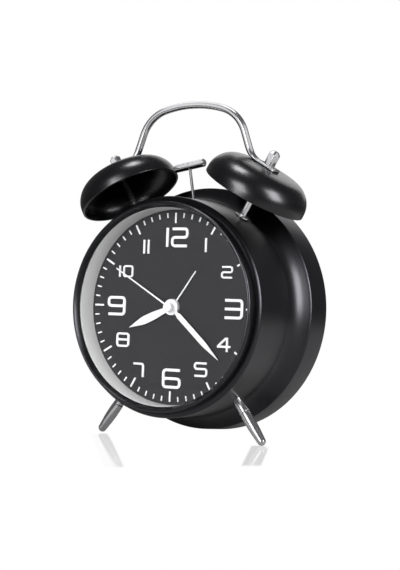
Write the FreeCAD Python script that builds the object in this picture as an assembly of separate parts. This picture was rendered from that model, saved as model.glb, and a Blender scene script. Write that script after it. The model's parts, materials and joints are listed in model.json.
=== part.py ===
import FreeCAD, Part
import math
import os

# A twin-bell alarm clock as its separate pieces, in millimetres.
# Every piece is drawn upright around the middle of the dial's front face:
# X to the right of someone reading the dial, Y from the dial to the back,
# Z towards twelve o'clock. At the end the whole clock leans back until it
# stands on its two feet and on the lowest point of its rear rim.

V = FreeCAD.Vector

# Stance
lean_deg = 5.0

# Case: a drum that flares out to a wide rear band, pressed from sheet
drum_r = 51.5
drum_front_round = 1.8
mouth_r = 47.7
rim_front_r = 58.2
rim_r = 59.0
case_depth = 41.4
case_front = 8.8
case_wall = 0.8
case_edge_round = 0.35
flare_depth = 24.02
flare_turn_deg = 62.0
flare_r = 11.0
crease_r = 1.2
ledge_r = 43.6
lug_width = 9.0
lug_reach = 9.5
lug_thickness = 1.2

# Front ring, lens, reflector ring and dial
front_depth = 13.8
bezel_r = 48.7
bezel_round = 1.0
bezel_crest_r = 47.5
bezel_crest_round = 0.4
bezel_in_r = 46.1
bezel_slope = 2.6
bezel_lip = 2.9
spigot_length = 5.0
spigot_gap = 0.15
spigot_wall = 0.55
lens_thickness = 1.2
lens_gap = 0.05
ring_wall = 0.4
ring_front_r = 45.95
ring_back_r = 45.3
dial_r = 47.6
dial_thickness = 0.8
mark_height = 0.5
mark_out_r = 43.9
hour_mark_in_r = 39.0
minute_mark_in_r = 41.6
hour_mark_width = 0.85
minute_mark_width = 0.65
numeral_height = 0.6
numeral_ring_r = 32.5
numeral_gap = 1.4
numeral_nudge = {12: (1.2, -0.1), 1: (0.6, 0.8), 2: (0.4, 0.4), 6: (0.6, -0.6), 7: (-1.3, -1.8), 8: (0.8, 0.1),
                 9: (0.9, -0.2), 10: (1.4, 0.0), 11: (0.5, -0.2)}

# Hands: level is the distance from the dial face to the back of the hand
hour_angle = 246.3
minute_angle = 131.6
second_angle = 300.3
alarm_angle = 35.6
hour_length = 25.4
minute_length = 35.2
second_length = 34.8
alarm_length = 20.8
hour_blade = 3.8
minute_blade = 2.5
thin_hand_width = 0.75
hand_thickness = 0.35
alarm_level = 0.6
hour_level = 1.25
minute_level = 2.0
second_level = 3.7
hub_r = 3.7
second_cap_r = 2.15
second_cap_height = 1.5
second_socket_r = 1.9
second_socket_length = 1.1

# Bells, their posts and the handle
bell_angle = 29.6
bell_aside = 3.46
bell_depth = 11.8
bell_rim_height = 63.6
bell_rim_r = 25.0
bell_height = 13.7
bell_waist_r = 24.8
bell_waist_height = 11.15
bell_shoulder_r = 14.3
bell_shoulder_height = 13.3
bell_top_r = 9.0
bell_waist_round = 10.8
bell_shoulder_round = 4.5
bell_wall = 1.0
post_r = 1.5
post_thread_r = 1.2
post_flange_r = 3.6
post_flange_thickness = 0.7
post_collar_r = 3.0
post_collar_height = 2.4
stud_inner_end = 46.4
nut_across = 5.5
nut_height = 2.4
cap_nut_across = 5.2
cap_nut_height = 7.2
cap_nut_crown_r = 1.3
cap_nut_crown_drop = 1.7
cap_nut_bore_depth = 4.6
handle_bar_r = 1.75
handle_top = 98.2
handle_crown_rise = 6.5
handle_crown_round = 60.0
handle_shoulder_x = 25.0
handle_shoulder_round = 18.0
handle_knee = 6.4
handle_knee_rise = 0.7
handle_knee_round = 4.0
tab_width = 6.2
tab_thickness = 1.4
tab_inner = 5.0
tab_outer = 5.0
tab_corner = 0.7

# Feet
foot_angle = 36.6
foot_depth = 8.9
foot_r = 2.25
foot_middle_r = 2.7
foot_middle_at = 66.0
foot_middle_round = 60.0
foot_tip_r = 2.0
foot_groove_at = 59.0
foot_groove_width = 0.7
foot_groove_depth = 0.35

# Hammer and its electromagnet
hammer_depth = 16.6
pivot_height = 44.0
hammer_lean = 10.0
hammer_swing = 20.0
hammer_length = 24.4
head_r = 1.95
head_length = 17.0
head_chamfer = 0.5
head_groove = 0.3
stem_r = 0.7
slot_margin = 0.5
lever_hub_r = 2.7
lever_thickness = 1.2
lever_hub_length = 2.4
lever_tail = 14.0
lever_width = 3.0
armature_size = 5.6
pin_r = 1.0
pin_head_r = 1.8
frame_depth = 22.2
frame_thickness = 1.2
frame_half_width = 17.0
frame_low = 27.0
frame_high = 46.5
coil_height = 33.0
coil_r = 4.5
coil_flange_r = 5.0
core_r = 1.6
core_tip = 5.6
coil_tail = 14.6
frame_screw_x = 10.5
frame_screw_height = 39.0

# Rear cover and what it carries
cover_depth = 32.5
cover_thickness = 2.0
cover_gap = 0.2
cover_lip = 1.5
cover_screw_ring = 51.5
cover_screw_count = 3
screw_r = 1.2
screw_head_r = 2.6
screw_head_height = 1.7
boss_r = 2.6
cell_r = 7.1
cell_length = 49.2
cell_nub_r = 2.7
cell_nub_length = 1.0
bay_half_length = 27.0
bay_height = 15.0
bay_middle = -28.0
bay_depth = 16.0
bay_wall = 1.2
door_margin = 2.0
door_thickness = 1.0
door_gap = 0.2
knob_r = 7.5
knob_height = 5.8
knob_standoff = 0.5
knob_flutes = 14
knob_flute_r = 0.9
switch_middle = 22.0
switch_travel = 4.0
switch_body_length = 14.0
switch_body_height = 8.0
switch_body_depth = 4.5
switch_button_length = 6.0
switch_button_height = 5.0
switch_button_thickness = 1.9

# Movement: two stages of motion work, the running train and the alarm setting
running_gap = 0.05
second_arbor_r = 0.5
cannon_r = 1.1
hour_tube_r = 1.7
alarm_tube_r = 2.3
neck_r = 3.3
neck_nut_r = 3.9
neck_nut_height = 0.4
stem_arbor_r = 1.25
train_arbor_r = 0.6
pivot_r = 0.4
wheel_thickness = 0.7
time_arbor_x = -12.0
alarm_arbor_x = 12.0
third_arbor_height = 10.8
fifth_arbor_height = -11.0
rotor_reach = 8.4
rotor_angle = -50.0
cannon_teeth = 10
minute_wheel_teeth = 30
minute_pinion_teeth = 8
hour_wheel_teeth = 32
alarm_wheel_teeth = 32
alarm_pinion_teeth = 16
rotor_teeth = 8
fifth_wheel_teeth = 48
fifth_pinion_teeth = 10
second_wheel_teeth = 50
second_pinion_teeth = 8
third_wheel_teeth = 60
third_pinion_teeth = 8
centre_wheel_teeth = 64
movement_half_width = 24.0
movement_top = 24.0
movement_bottom = -30.0
movement_corner = 5.0
movement_wall = 1.2
front_plate_thickness = 1.0
bridge_depth = 5.9
bridge_thickness = 0.8
movement_back = 12.6
alarm_wheel_depth = 2.1
hour_wheel_depth = 3.2
minute_wheel_depth = 4.5
centre_wheel_depth = 7.0
third_wheel_depth = 8.3
second_wheel_depth = 9.5
fifth_wheel_depth = 10.6
rotor_depth = 7.9
rotor_length = 2.1
rotor_r = 2.3
stator_depth = 8.7
stator_thickness = 1.0
stator_hole_r = 2.9
stator_left = -10.0
stator_right = 18.0
stator_low = -27.5
stator_high = -14.2
stator_core = 2.0
stator_leg = 3.6
stator_yoke = 6.4
winding_r = 2.1

# Gear teeth, as shares of the tooth pitch and of the module
wheel_tooth = (0.28, 0.13, 0.95, 1.2)
pinion_tooth = (0.28, 0.14, 0.85, 1.15)


def in_plane_ry(a, b):
    """A point of a section that turns round the Y axis."""
    return V(a, b, 0)


def in_plane_xz(a, b):
    """A point of an outline seen from the front."""
    return V(a, 0, b)


def in_plane_rz(a, b):
    """A point of a section that turns round the Z axis."""
    return V(a, 0, b)


def face(points, place):
    """A closed outline of (a, b) or (a, b, radius) corners as a face."""
    corners = [tuple(p) + (0.0,) * (3 - len(p)) for p in points]
    starts = []
    ends = []
    middles = []
    for i, (a, b, radius) in enumerate(corners):
        here = V(a, b, 0)
        before = V(corners[i - 1][0], corners[i - 1][1], 0) - here
        after = V(corners[(i + 1) % len(corners)][0], corners[(i + 1) % len(corners)][1], 0) - here
        if radius <= 0:
            starts.append(here)
            ends.append(here)
            middles.append(None)
            continue
        before.normalize()
        after.normalize()
        half = math.acos(max(-1.0, min(1.0, before.dot(after)))) / 2
        tangent = radius / math.tan(half)
        bisector = before + after
        bisector.normalize()
        centre = here + bisector * (radius / math.sin(half))
        starts.append(here + before * tangent)
        ends.append(here + after * tangent)
        middles.append(centre - bisector * radius)
    edges = []
    for i in range(len(corners)):
        if middles[i] is not None:
            arc = [place(p.x, p.y) for p in (starts[i], middles[i], ends[i])]
            edges.append(Part.Arc(arc[0], arc[1], arc[2]).toShape())
        following = starts[(i + 1) % len(corners)]
        if (following - ends[i]).Length > 1e-6:
            edges.append(Part.LineSegment(place(ends[i].x, ends[i].y), place(following.x, following.y)).toShape())
    return Part.Face(Part.Wire(edges))


def turned_y(points):
    """A solid turned round the Y axis from (radius, depth) corners."""
    return face(points, in_plane_ry).revolve(V(0, 0, 0), V(0, 1, 0), 360)


def turned_z(points):
    """A solid turned round the Z axis from (radius, height) corners."""
    return face(points, in_plane_rz).revolve(V(0, 0, 0), V(0, 0, 1), 360)


def plate(points, depth, thickness):
    """An outline seen from the front, thickened towards the back."""
    flat = face(points, in_plane_xz)
    flat.translate(V(0, depth, 0))
    return flat.extrude(V(0, thickness, 0))


def disc(radius, depth, thickness, x=0.0, z=0.0):
    """A cylinder along Y."""
    return Part.makeCylinder(radius, thickness, V(x, depth, z), V(0, 1, 0))


def tube(radius, bore, depth, length, x=0.0, z=0.0):
    """A sleeve along Y."""
    return disc(radius, depth, length, x, z).cut(disc(bore, depth - 1, length + 2, x, z))


def box(x0, x1, y0, y1, z0, z1):
    """A block between two corners."""
    return Part.makeBox(x1 - x0, y1 - y0, z1 - z0, V(x0, y0, z0))


def rounded_box(x0, x1, z0, z1, corner, depth, thickness):
    """A plate with four rounded corners."""
    outline = [(x0, z0, corner), (x1, z0, corner), (x1, z1, corner), (x0, z1, corner)]
    return plate(outline, depth, thickness)


def hexagon(across, height, base):
    """A six-sided prism along Z, flat sides across apart."""
    corner = across / math.sqrt(3)
    points = [(corner * math.cos(math.radians(60 * i)), corner * math.sin(math.radians(60 * i))) for i in range(6)]
    return face(points, lambda a, b: V(a, b, base)).extrude(V(0, 0, height))


def radial(shape, angle, depth=0.0):
    """Turn a piece drawn along Z to stand out of the drum at an angle from twelve."""
    out = shape.copy()
    out.translate(V(0, depth, 0))
    out.rotate(V(0, 0, 0), V(0, 1, 0), angle)
    return out


def on_bell_axis(shape, side):
    """Put a piece drawn along Z on the axis of the right (1) or the left (-1) bell."""
    out = shape.copy()
    out.translate(V(side * bell_aside, bell_depth, 0))
    out.rotate(V(0, 0, 0), V(0, 1, 0), side * bell_angle)
    return out


def offset_path(points, distance):
    """An open path moved sideways, to its left when distance is positive."""
    moved = []
    for i, p in enumerate(points):
        here = V(p[0], p[1], 0)
        sides = []
        if i > 0:
            sides.append(here - V(points[i - 1][0], points[i - 1][1], 0))
        if i < len(points) - 1:
            sides.append(V(points[i + 1][0], points[i + 1][1], 0) - here)
        normals = [V(-s.y, s.x, 0) for s in sides]
        for n in normals:
            n.normalize()
        if len(normals) == 1:
            shift = normals[0] * distance
        else:
            middle = normals[0] + normals[1]
            middle.normalize()
            shift = middle * (distance / middle.dot(normals[0]))
        moved.append((here.x + shift.x, here.y + shift.y))
    return moved


def turn_sign(points, i):
    """1 where an open path turns left at point i, -1 where it turns right."""
    a = V(points[i][0] - points[i - 1][0], points[i][1] - points[i - 1][1], 0)
    b = V(points[i + 1][0] - points[i][0], points[i + 1][1] - points[i][1], 0)
    return 1 if a.cross(b).z > 0 else -1


def stroke(points, width, bend):
    """A pen stroke of one width along an open path, as a closed outline."""
    sides = []
    for side in (1, -1):
        line = []
        for i, p in enumerate(offset_path(points, side * width / 2)):
            inner = 0 < i < len(points) - 1
            radius = bend - side * turn_sign(points, i) * width / 2 if inner else 0.0
            line.append((p[0], p[1], max(radius, 0.0)))
        sides.append(line)
    return sides[0] + sides[1][::-1]


def ground_drop():
    """How far below the dial's middle the standing surface lies, once leaned back."""
    lean = math.radians(lean_deg)
    reach = rim_r - case_edge_round
    back = case_depth - case_edge_round
    return reach * math.cos(lean) + back * math.sin(lean) + case_edge_round


def crease_depth():
    """Where the flare ends and the rear band begins."""
    return flare_depth + (rim_front_r - drum_r) / math.tan(math.radians(flare_turn_deg))


def band_r(depth):
    """Outer radius of the rear band, which widens a little to the back."""
    return rim_front_r + (rim_r - rim_front_r) * (depth - crease_depth()) / (case_depth - crease_depth())


def case_form(inset, front, back, round_front=0.0, round_back=0.0):
    """The solid form of the case, drawn in by inset all round."""
    side = offset_path([(drum_r, front), (drum_r, flare_depth), (rim_front_r, crease_depth()), (band_r(back), back)],
                       inset)
    return turned_y([
        (0, front),
        side[0] + (round_front,),
        side[1] + (flare_r + inset,),
        side[2] + (max(crease_r - inset, 0.2),),
        (side[3][0], back, round_back),
        (0, back),
    ])


def screw_places():
    """The angles from twelve of the rear cover's screws."""
    return [i * 360.0 / cover_screw_count for i in range(cover_screw_count)]


def housing():
    """Drum, flare and rear band in one sheet, open in front, with the dial's ledge and the cover's lugs."""
    shell = case_form(0, -case_front, case_depth, drum_front_round, case_edge_round)
    hollow = case_form(case_wall, -case_front + case_wall, case_depth + 1, drum_front_round - case_wall)
    shell = shell.cut([hollow, disc(mouth_r, -case_front - 1, case_wall + 2)])
    ledge = tube(drum_r - case_wall / 2, ledge_r, dial_thickness, case_wall)
    ledge = ledge.fuse(tube(mouth_r + case_wall, mouth_r, 0, dial_thickness + case_wall))
    lug_out = band_r(cover_depth) - case_wall / 2
    lug = box(-lug_width / 2, lug_width / 2, cover_depth - lug_thickness, cover_depth,
              lug_out - lug_reach, lug_out - 0.1)
    lug = lug.cut(disc(screw_r, cover_depth - 5, 6, 0, cover_screw_ring))
    shell = shell.fuse([ledge] + [radial(lug, angle) for angle in screw_places()])
    hole = Part.makeCylinder(post_thread_r + 0.1, 6, V(0, 0, drum_r - 3))
    holes = [on_bell_axis(hole, side) for side in (1, -1)]
    holes += [radial(hole, angle, foot_depth) for angle in (180 - foot_angle, 180 + foot_angle)]
    return shell.cut(holes + [hammer_slot()]).removeSplitter()


def hammer_slot():
    """The slot in the top of the drum that the hammer's stem swings in."""
    reach = (drum_r - pivot_height) * math.tan(math.radians(hammer_lean))
    half = reach + stem_r + slot_margin
    side = stem_r + slot_margin
    outline = [(-half, hammer_depth - side, side * 0.98), (half, hammer_depth - side, side * 0.98),
               (half, hammer_depth + side, side * 0.98), (-half, hammer_depth + side, side * 0.98)]
    return face(outline, lambda a, b: V(a, b, drum_r - 4)).extrude(V(0, 0, 8))


def front_bezel():
    """The ring that closes the front: a crest, a slope down to the lens, and a sleeve that enters the drum."""
    sleeve_out = mouth_r - spigot_gap
    sleeve_in = sleeve_out - spigot_wall
    seat = -front_depth + bezel_lip
    return turned_y([
        (bezel_r, -case_front, 0.25),
        (bezel_r, -front_depth, bezel_round),
        (bezel_crest_r, -front_depth, bezel_crest_round),
        (bezel_in_r, -front_depth + bezel_slope),
        (bezel_in_r, seat),
        (sleeve_in, seat),
        (sleeve_in, -case_front + spigot_length),
        (sleeve_out, -case_front + spigot_length),
        (sleeve_out, -case_front),
    ])


def ring_r():
    """Outer radius of the spacer ring, inside the bezel's sleeve."""
    return mouth_r - spigot_gap - spigot_wall - lens_gap


def lens():
    """The flat front glass, held in the spacer ring by the bezel's lip."""
    return disc(ring_r() - ring_wall - lens_gap, -front_depth + bezel_lip, lens_thickness)


def dial_spacer_ring():
    """The grey ring between the lens and the dial, with a rebate for the lens."""
    front = -front_depth + bezel_lip
    rebate = ring_r() - ring_wall
    return turned_y([(rebate, front), (ring_r(), front), (ring_r(), 0), (ring_back_r, 0),
                     (ring_front_r, front + lens_thickness), (rebate, front + lens_thickness)])


def dial_plate():
    """The dial, held between the ring and the drum's ledge."""
    return tube(dial_r, neck_r + 0.1, 0, dial_thickness)


def minute_marks():
    """Sixty raised bars, every fifth one long."""
    marks = []
    for i in range(60):
        hour = i % 5 == 0
        half = (hour_mark_width if hour else minute_mark_width) / 2
        inner = hour_mark_in_r if hour else minute_mark_in_r
        bar = box(-half, half, -mark_height, 0, inner, mark_out_r)
        marks.append(radial(bar, 6 * i))
    return Part.makeCompound(marks)


def glyph(paths, loops, x, z, width, height, pen):
    """One raised numeral: strokes and closed loops in a unit cell, scaled to its size."""
    solids = []
    bend = pen * 1.15
    for path in paths:
        points = [(x + (a - 0.5) * (width - pen), z + (b - 0.5) * (height - pen)) for a, b in path]
        solids.append(plate(stroke(points, pen, bend), -numeral_height, numeral_height))
    for a0, b0, a1, b1 in loops:
        x0 = x + (a0 - 0.5) * (width - pen)
        x1 = x + (a1 - 0.5) * (width - pen)
        z0 = z + (b0 - 0.5) * (height - pen)
        z1 = z + (b1 - 0.5) * (height - pen)
        half = pen / 2
        outer = rounded_box(x0 - half, x1 + half, z0 - half, z1 + half, bend + half, -numeral_height, numeral_height)
        inner = rounded_box(x0 + half, x1 - half, z0 + half, z1 - half, bend - half, -numeral_height - 1,
                            numeral_height + 2)
        solids.append(outer.cut(inner))
    if len(solids) == 1:
        return solids[0]
    return solids[0].fuse(solids[1:]).removeSplitter()


def digit(name):
    """The strokes and loops of a numeral in a unit cell."""
    end = 0.06
    shapes = {
        "1": ([[(0.5, -end), (0.5, 1 + end)]], []),
        "2": ([[(0, 1), (1, 1), (1, 0.5), (0, 0.5), (0, 0), (1, 0)]], []),
        "3": ([[(0, 1), (1, 1), (1, 0), (0, 0)], [(0, 0.5), (1, 0.5)]], []),
        "4": ([[(0.76, -end), (0.76, 1 + end)], [(-end, 0.34), (1 + end, 0.34)], [(0.02, 0.38), (0.66, 1)]], []),
        "5": ([[(1, 1), (0, 1), (0, 0.55), (1, 0.55), (1, 0), (0, 0)]], []),
        "6": ([[(1, 1), (0, 1), (0, 0.3)]], [(0, 0, 1, 0.5)]),
        "7": ([[(0, 1), (0.85, 1), (0.85, -end)]], []),
        "8": ([[(0, 0.52), (1, 0.52)]], [(0, 0, 1, 1)]),
        "9": ([[(0, 0), (1, 0), (1, 0.7)]], [(0, 0.5, 1, 1)]),
        "0": ([], [(0, 0, 1, 1)]),
    }
    return shapes[name]


def dial_numerals():
    """The twelve raised numerals, the four at the quarters larger."""
    quarter = (10.2, 9.2, 1.3)
    plain = (7.3, 6.8, 1.0)
    fine = (6.2, 5.7, 0.85)
    sizes = {3: quarter, 6: quarter, 9: quarter, 12: quarter, 2: fine, 10: fine}
    solids = []
    for hour in range(1, 13):
        width, height, pen = sizes.get(hour, plain)
        angle = math.radians(30 * hour)
        aside, up = numeral_nudge.get(hour, (0.0, 0.0))
        x = numeral_ring_r * math.sin(angle) + aside
        z = numeral_ring_r * math.cos(angle) + up
        text = str(hour)
        widths = [pen if character == "1" else width * (0.92 if len(text) > 1 else 1.0) for character in text]
        left = x - (sum(widths) + numeral_gap * (len(text) - 1)) / 2
        for character, own_width in zip(text, widths):
            paths, loops = digit(character)
            middle = left + own_width / 2
            solids.append(glyph(paths, loops, middle, z, own_width, height, pen))
            left += own_width + numeral_gap
    return Part.makeCompound(solids)


def blade(length, width, neck, start, full, taper):
    """The outline of a hand: a neck, a shoulder to full width, then a long point."""
    half = width / 2
    return [
        (-neck / 2, start),
        (neck / 2, start),
        (neck / 2, full[0], 0.5),
        (half, full[1], 3.0),
        (half, taper, 9.0),
        (0.08, length),
        (-0.08, length),
        (-half, taper, 9.0),
        (-half, full[1], 3.0),
        (-neck / 2, full[0], 0.5),
    ]


def hand(outline, level, angle, hub, bore):
    """A hand pointing at an angle, with a round hub pressed on its tube."""
    pointer = radial(plate(outline, -level - hand_thickness, hand_thickness), angle)
    return pointer.fuse(disc(hub, -level - hand_thickness, hand_thickness)).cut(
        disc(bore, -level - hand_thickness - 1, hand_thickness + 2)).removeSplitter()


def hour_hand():
    """The short broad hand."""
    outline = blade(hour_length, hour_blade, 2.4, 2.5, (3.6, 11.0), 17.0)
    return hand(outline, hour_level, hour_angle, hub_r, hour_tube_r)


def minute_hand():
    """The long hand, with a short neck before its blade."""
    outline = blade(minute_length, minute_blade, 1.6, 2.0, (4.6, 5.8), 25.0)
    return hand(outline, minute_level, minute_angle, hub_r, cannon_r)


def alarm_hand():
    """The thin hand that points at the alarm time."""
    half = thin_hand_width / 2
    outline = [(-half, 2), (half, 2), (half, alarm_length), (-half, alarm_length)]
    return hand(outline, alarm_level, alarm_angle, hub_r, alarm_tube_r)


def second_hand():
    """The thin sweep hand on its socket, with its cap."""
    half = thin_hand_width / 2
    front = -second_level - hand_thickness
    outline = [(-half, 1), (half, 1), (half * 0.8, second_length), (-half * 0.8, second_length)]
    pointer = radial(plate(outline, front, hand_thickness), second_angle)
    cap = disc(second_cap_r, front - second_cap_height, hand_thickness + second_cap_height)
    socket = disc(second_socket_r, -second_level - 0.1, second_socket_length + 0.1)
    bore = disc(second_arbor_r, front, 5)
    return cap.fuse([pointer, socket]).cut(bore).removeSplitter()


def bell():
    """One pressed bell round the Z axis, its rim at the bottom."""
    top = bell_rim_height + bell_height
    outer = [
        (0, top),
        (bell_top_r, top),
        (bell_shoulder_r, bell_rim_height + bell_shoulder_height),
        (bell_waist_r, bell_rim_height + bell_waist_height),
        (bell_rim_r, bell_rim_height),
    ]
    rounds = [0, 2.0, bell_shoulder_round, bell_waist_round, 0.4]
    inner = offset_path(outer, -bell_wall)
    inner[-1] = (inner[-1][0], bell_rim_height)
    solid = [(p[0], p[1], r) for p, r in zip(outer, rounds)]
    hollow = [(p[0], p[1], max(r - bell_wall, 0.3)) for p, r in zip(inner, rounds)]
    hollow[0] = (0, top - bell_wall)
    hollow[-1] = (inner[-1][0], bell_rim_height, 0.3)
    shell = turned_z(solid + hollow[::-1])
    return shell.cut(Part.makeCylinder(post_r + 0.1, 4, V(0, 0, top - 3)))


def bell_post():
    """The rod that carries a bell, from inside the drum to the cap nut."""
    under = bell_rim_height + bell_height - bell_wall
    rod_end = bell_rim_height + bell_height + tab_thickness + cap_nut_bore_depth - 0.4
    rod = Part.makeCylinder(post_r, rod_end - drum_r, V(0, 0, drum_r))
    thread = Part.makeCylinder(post_thread_r, drum_r - stud_inner_end, V(0, 0, stud_inner_end))
    flange = Part.makeCylinder(post_flange_r, post_flange_thickness, V(0, 0, drum_r))
    collar = Part.makeCylinder(post_collar_r, post_collar_height, V(0, 0, under - post_collar_height))
    return rod.fuse([thread, flange, collar]).removeSplitter()


def inner_nut(aside=0.0):
    """A plain nut inside the drum, on a post or a foot, with a corner against the round wall."""
    corner = aside + nut_across / math.sqrt(3)
    seat = math.sqrt((drum_r - case_wall) ** 2 - corner ** 2) - 0.02
    base = seat - nut_height
    body = hexagon(nut_across, nut_height, base)
    return body.cut(Part.makeCylinder(post_thread_r, nut_height + 2, V(0, 0, base - 1)))


def post_nuts():
    """The nuts inside the drum that hold the bells' posts."""
    return Part.makeCompound([on_bell_axis(inner_nut(bell_aside), side) for side in (1, -1)])


def foot_nuts():
    """The nuts inside the drum that hold the feet."""
    return Part.makeCompound([radial(inner_nut(), angle, foot_depth)
                              for angle in (180 - foot_angle, 180 + foot_angle)])


def cap_nuts():
    """The closed nuts on top of the bells."""
    base = bell_rim_height + bell_height + tab_thickness
    corner = cap_nut_across / math.sqrt(3)
    top = base + cap_nut_height
    dome = turned_z([(0, base), (corner - 0.25, base), (corner, base + 0.5), (corner, top - cap_nut_crown_drop, 1.5),
                     (cap_nut_crown_r, top, 0.8), (0, top)])
    body = hexagon(cap_nut_across, cap_nut_height, base).common(dome)
    body = body.cut(Part.makeCylinder(post_r, cap_nut_bore_depth + 1, V(0, 0, base - 1)))
    return Part.makeCompound([on_bell_axis(body, side) for side in (1, -1)])


def tab_point(along, height=0.0):
    """A point over the right bell's top, along its flat and above it."""
    angle = math.radians(bell_angle)
    out = bell_rim_height + bell_height + tab_thickness / 2 + height
    aside = bell_aside + along
    return V(out * math.sin(angle) + aside * math.cos(angle), bell_depth,
             out * math.cos(angle) - aside * math.sin(angle))


def ellipse_section(centre, direction, half_width, half_thickness):
    """A section of the handle across its path, wide along Y."""
    direction.normalize()
    across = direction.cross(V(0, 1, 0))
    across.normalize()
    start = centre + V(0, half_width, 0)
    side = centre + across * half_thickness
    return Part.Wire(Part.Ellipse(start, side, centre).toShape())


def handle():
    """The round bar over the bells, flattened to a tab under each cap nut."""
    crown = V(0, bell_depth, handle_top - handle_bar_r)
    half_turn = math.atan2(handle_crown_rise, handle_shoulder_x)
    apex = crown.z + handle_crown_round * (1 / math.cos(half_turn) - 1)
    shoulder = V(handle_shoulder_x, bell_depth, apex - handle_crown_rise)
    knee = tab_point(-tab_inner - handle_knee, handle_knee_rise)
    leg = shoulder - knee
    leg.normalize()
    leg_start = knee + leg * handle_knee_round
    path = [(leg_start.x, leg_start.z), (shoulder.x, shoulder.z), (0, apex), (-shoulder.x, shoulder.z),
            (-leg_start.x, leg_start.z)]
    rounds = [0, handle_shoulder_round, handle_crown_round, handle_shoulder_round, 0]
    spine = open_wire([(p[0], p[1], r) for p, r in zip(path, rounds)], bell_depth)
    circle = ellipse_section(leg_start, leg * 1.0, handle_bar_r + 0.001, handle_bar_r)
    bar = Part.Wire(spine).makePipeShell([circle], True, False)
    half_thickness = tab_thickness / 2
    inward = tab_point(-tab_inner) - tab_point(0)
    inward.normalize()
    sections = [
        ellipse_section(leg_start, leg * 1.0, handle_bar_r + 0.001, handle_bar_r),
        ellipse_section(knee, leg + inward, 2.5, 1.2),
        ellipse_section(tab_point(-tab_inner - handle_knee / 2, handle_knee_rise / 2), inward * 1.0, 3.1, 0.8),
        ellipse_section(tab_point(-tab_inner + 0.4), inward * 1.0, tab_width / 2 - 0.2, half_thickness),
    ]
    bend = Part.makeLoft(sections, True, False)
    bell_top = bell_rim_height + bell_height
    under = box(-tab_inner - 9, -tab_inner + 2, -tab_width, tab_width, bell_top - 4, bell_top)
    bend = bend.cut(on_bell_axis(under, 1))
    tab = tab_solid()
    right = bend.fuse(tab)
    left = right.mirror(V(0, 0, 0), V(1, 0, 0))
    return bar.fuse([right, left]).removeSplitter()


def tab_solid():
    """The flat end of the handle on the right bell."""
    low = bell_rim_height + bell_height
    outline = [(-tab_inner, -tab_width / 2), (tab_outer, -tab_width / 2, tab_corner),
               (tab_outer, tab_width / 2, tab_corner), (-tab_inner, tab_width / 2)]
    flat = face(outline, lambda a, b: V(a, b, low)).extrude(V(0, 0, tab_thickness))
    flat = flat.cut(Part.makeCylinder(post_r + 0.1, 4, V(0, 0, low - 1)))
    return on_bell_axis(flat, 1)


def open_wire(corners, depth):
    """An open path with rounded corners, seen from the front at one depth."""
    edges = []
    previous = V(corners[0][0], depth, corners[0][1])
    for i in range(1, len(corners) - 1):
        a, b, radius = corners[i]
        here = V(a, depth, b)
        before = V(corners[i - 1][0], depth, corners[i - 1][1]) - here
        after = V(corners[i + 1][0], depth, corners[i + 1][1]) - here
        before.normalize()
        after.normalize()
        half = math.acos(before.dot(after)) / 2
        tangent = radius / math.tan(half)
        bisector = before + after
        bisector.normalize()
        start = here + before * tangent
        end = here + after * tangent
        middle = here + bisector * (radius / math.sin(half) - radius)
        edges.append(Part.LineSegment(previous, start).toShape())
        edges.append(Part.Arc(start, middle, end).toShape())
        previous = end
    edges.append(Part.LineSegment(previous, V(corners[-1][0], depth, corners[-1][1])).toShape())
    return Part.Wire(edges)


def foot():
    """One turned foot round the Z axis, its stud inside the drum and its tip out."""
    lean = math.radians(lean_deg)
    splay = math.radians(foot_angle)
    low = ground_drop() - foot_tip_r - foot_depth * math.sin(lean)
    tip = low / (math.cos(lean) * math.cos(splay))
    groove_r = foot_r + (foot_middle_r - foot_r) * (foot_groove_at - drum_r) / (foot_middle_at - drum_r)
    return turned_z([
        (0, stud_inner_end),
        (post_thread_r, stud_inner_end),
        (post_thread_r, drum_r),
        (foot_r, drum_r),
        (groove_r, foot_groove_at - foot_groove_width / 2),
        (groove_r - foot_groove_depth, foot_groove_at),
        (groove_r, foot_groove_at + foot_groove_width / 2),
        (foot_middle_r, foot_middle_at, foot_middle_round),
        (foot_tip_r, tip),
        (foot_tip_r, tip + foot_tip_r, foot_tip_r * 0.98),
        (0, tip + foot_tip_r),
    ])


def swung(shape):
    """Put a hammer piece, drawn upright over the pivot, at its rest lean."""
    out = shape.copy()
    out.translate(V(0, hammer_depth, pivot_height))
    out.rotate(V(0, hammer_depth, pivot_height), V(0, 1, 0), -hammer_lean)
    return out


def hammer_head():
    """The striking cylinder across the top of the stem, with a fine groove round its middle."""
    half = head_length / 2
    groove = head_groove / 2
    profile = [(0, -half), (head_r - head_chamfer, -half), (head_r, -half + head_chamfer), (head_r, -groove),
               (head_r - groove, 0), (head_r, groove), (head_r, half - head_chamfer),
               (head_r - head_chamfer, half), (0, half)]
    head = face(profile, in_plane_rz).revolve(V(0, 0, 0), V(0, 0, 1), 360)
    head.rotate(V(0, 0, 0), V(0, 1, 0), 90)
    head.translate(V(0, 0, hammer_length))
    return swung(head.cut(Part.makeCylinder(stem_r, 4, V(0, 0, hammer_length - 4))))


def hammer_stem():
    """The wire from the lever to the head."""
    start = lever_hub_r - 1.2
    return swung(Part.makeCylinder(stem_r, hammer_length - start, V(0, 0, start)))


def hammer_lever():
    """The hub on the pivot pin, its tail and the hole for the stem."""
    hub = Part.makeCylinder(lever_hub_r, lever_hub_length, V(0, -lever_hub_length / 2, 0), V(0, 1, 0))
    half = lever_width / 2
    tail = box(-half, half, -lever_thickness / 2, lever_thickness / 2, -lever_tail, 0)
    lever = hub.fuse(tail)
    lever = lever.cut(Part.makeCylinder(pin_r + running_gap, 8, V(0, -4, 0), V(0, 1, 0)))
    lever = lever.cut(Part.makeCylinder(stem_r, 4, V(0, 0, lever_hub_r - 1.2)))
    return swung(lever.removeSplitter())


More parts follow.
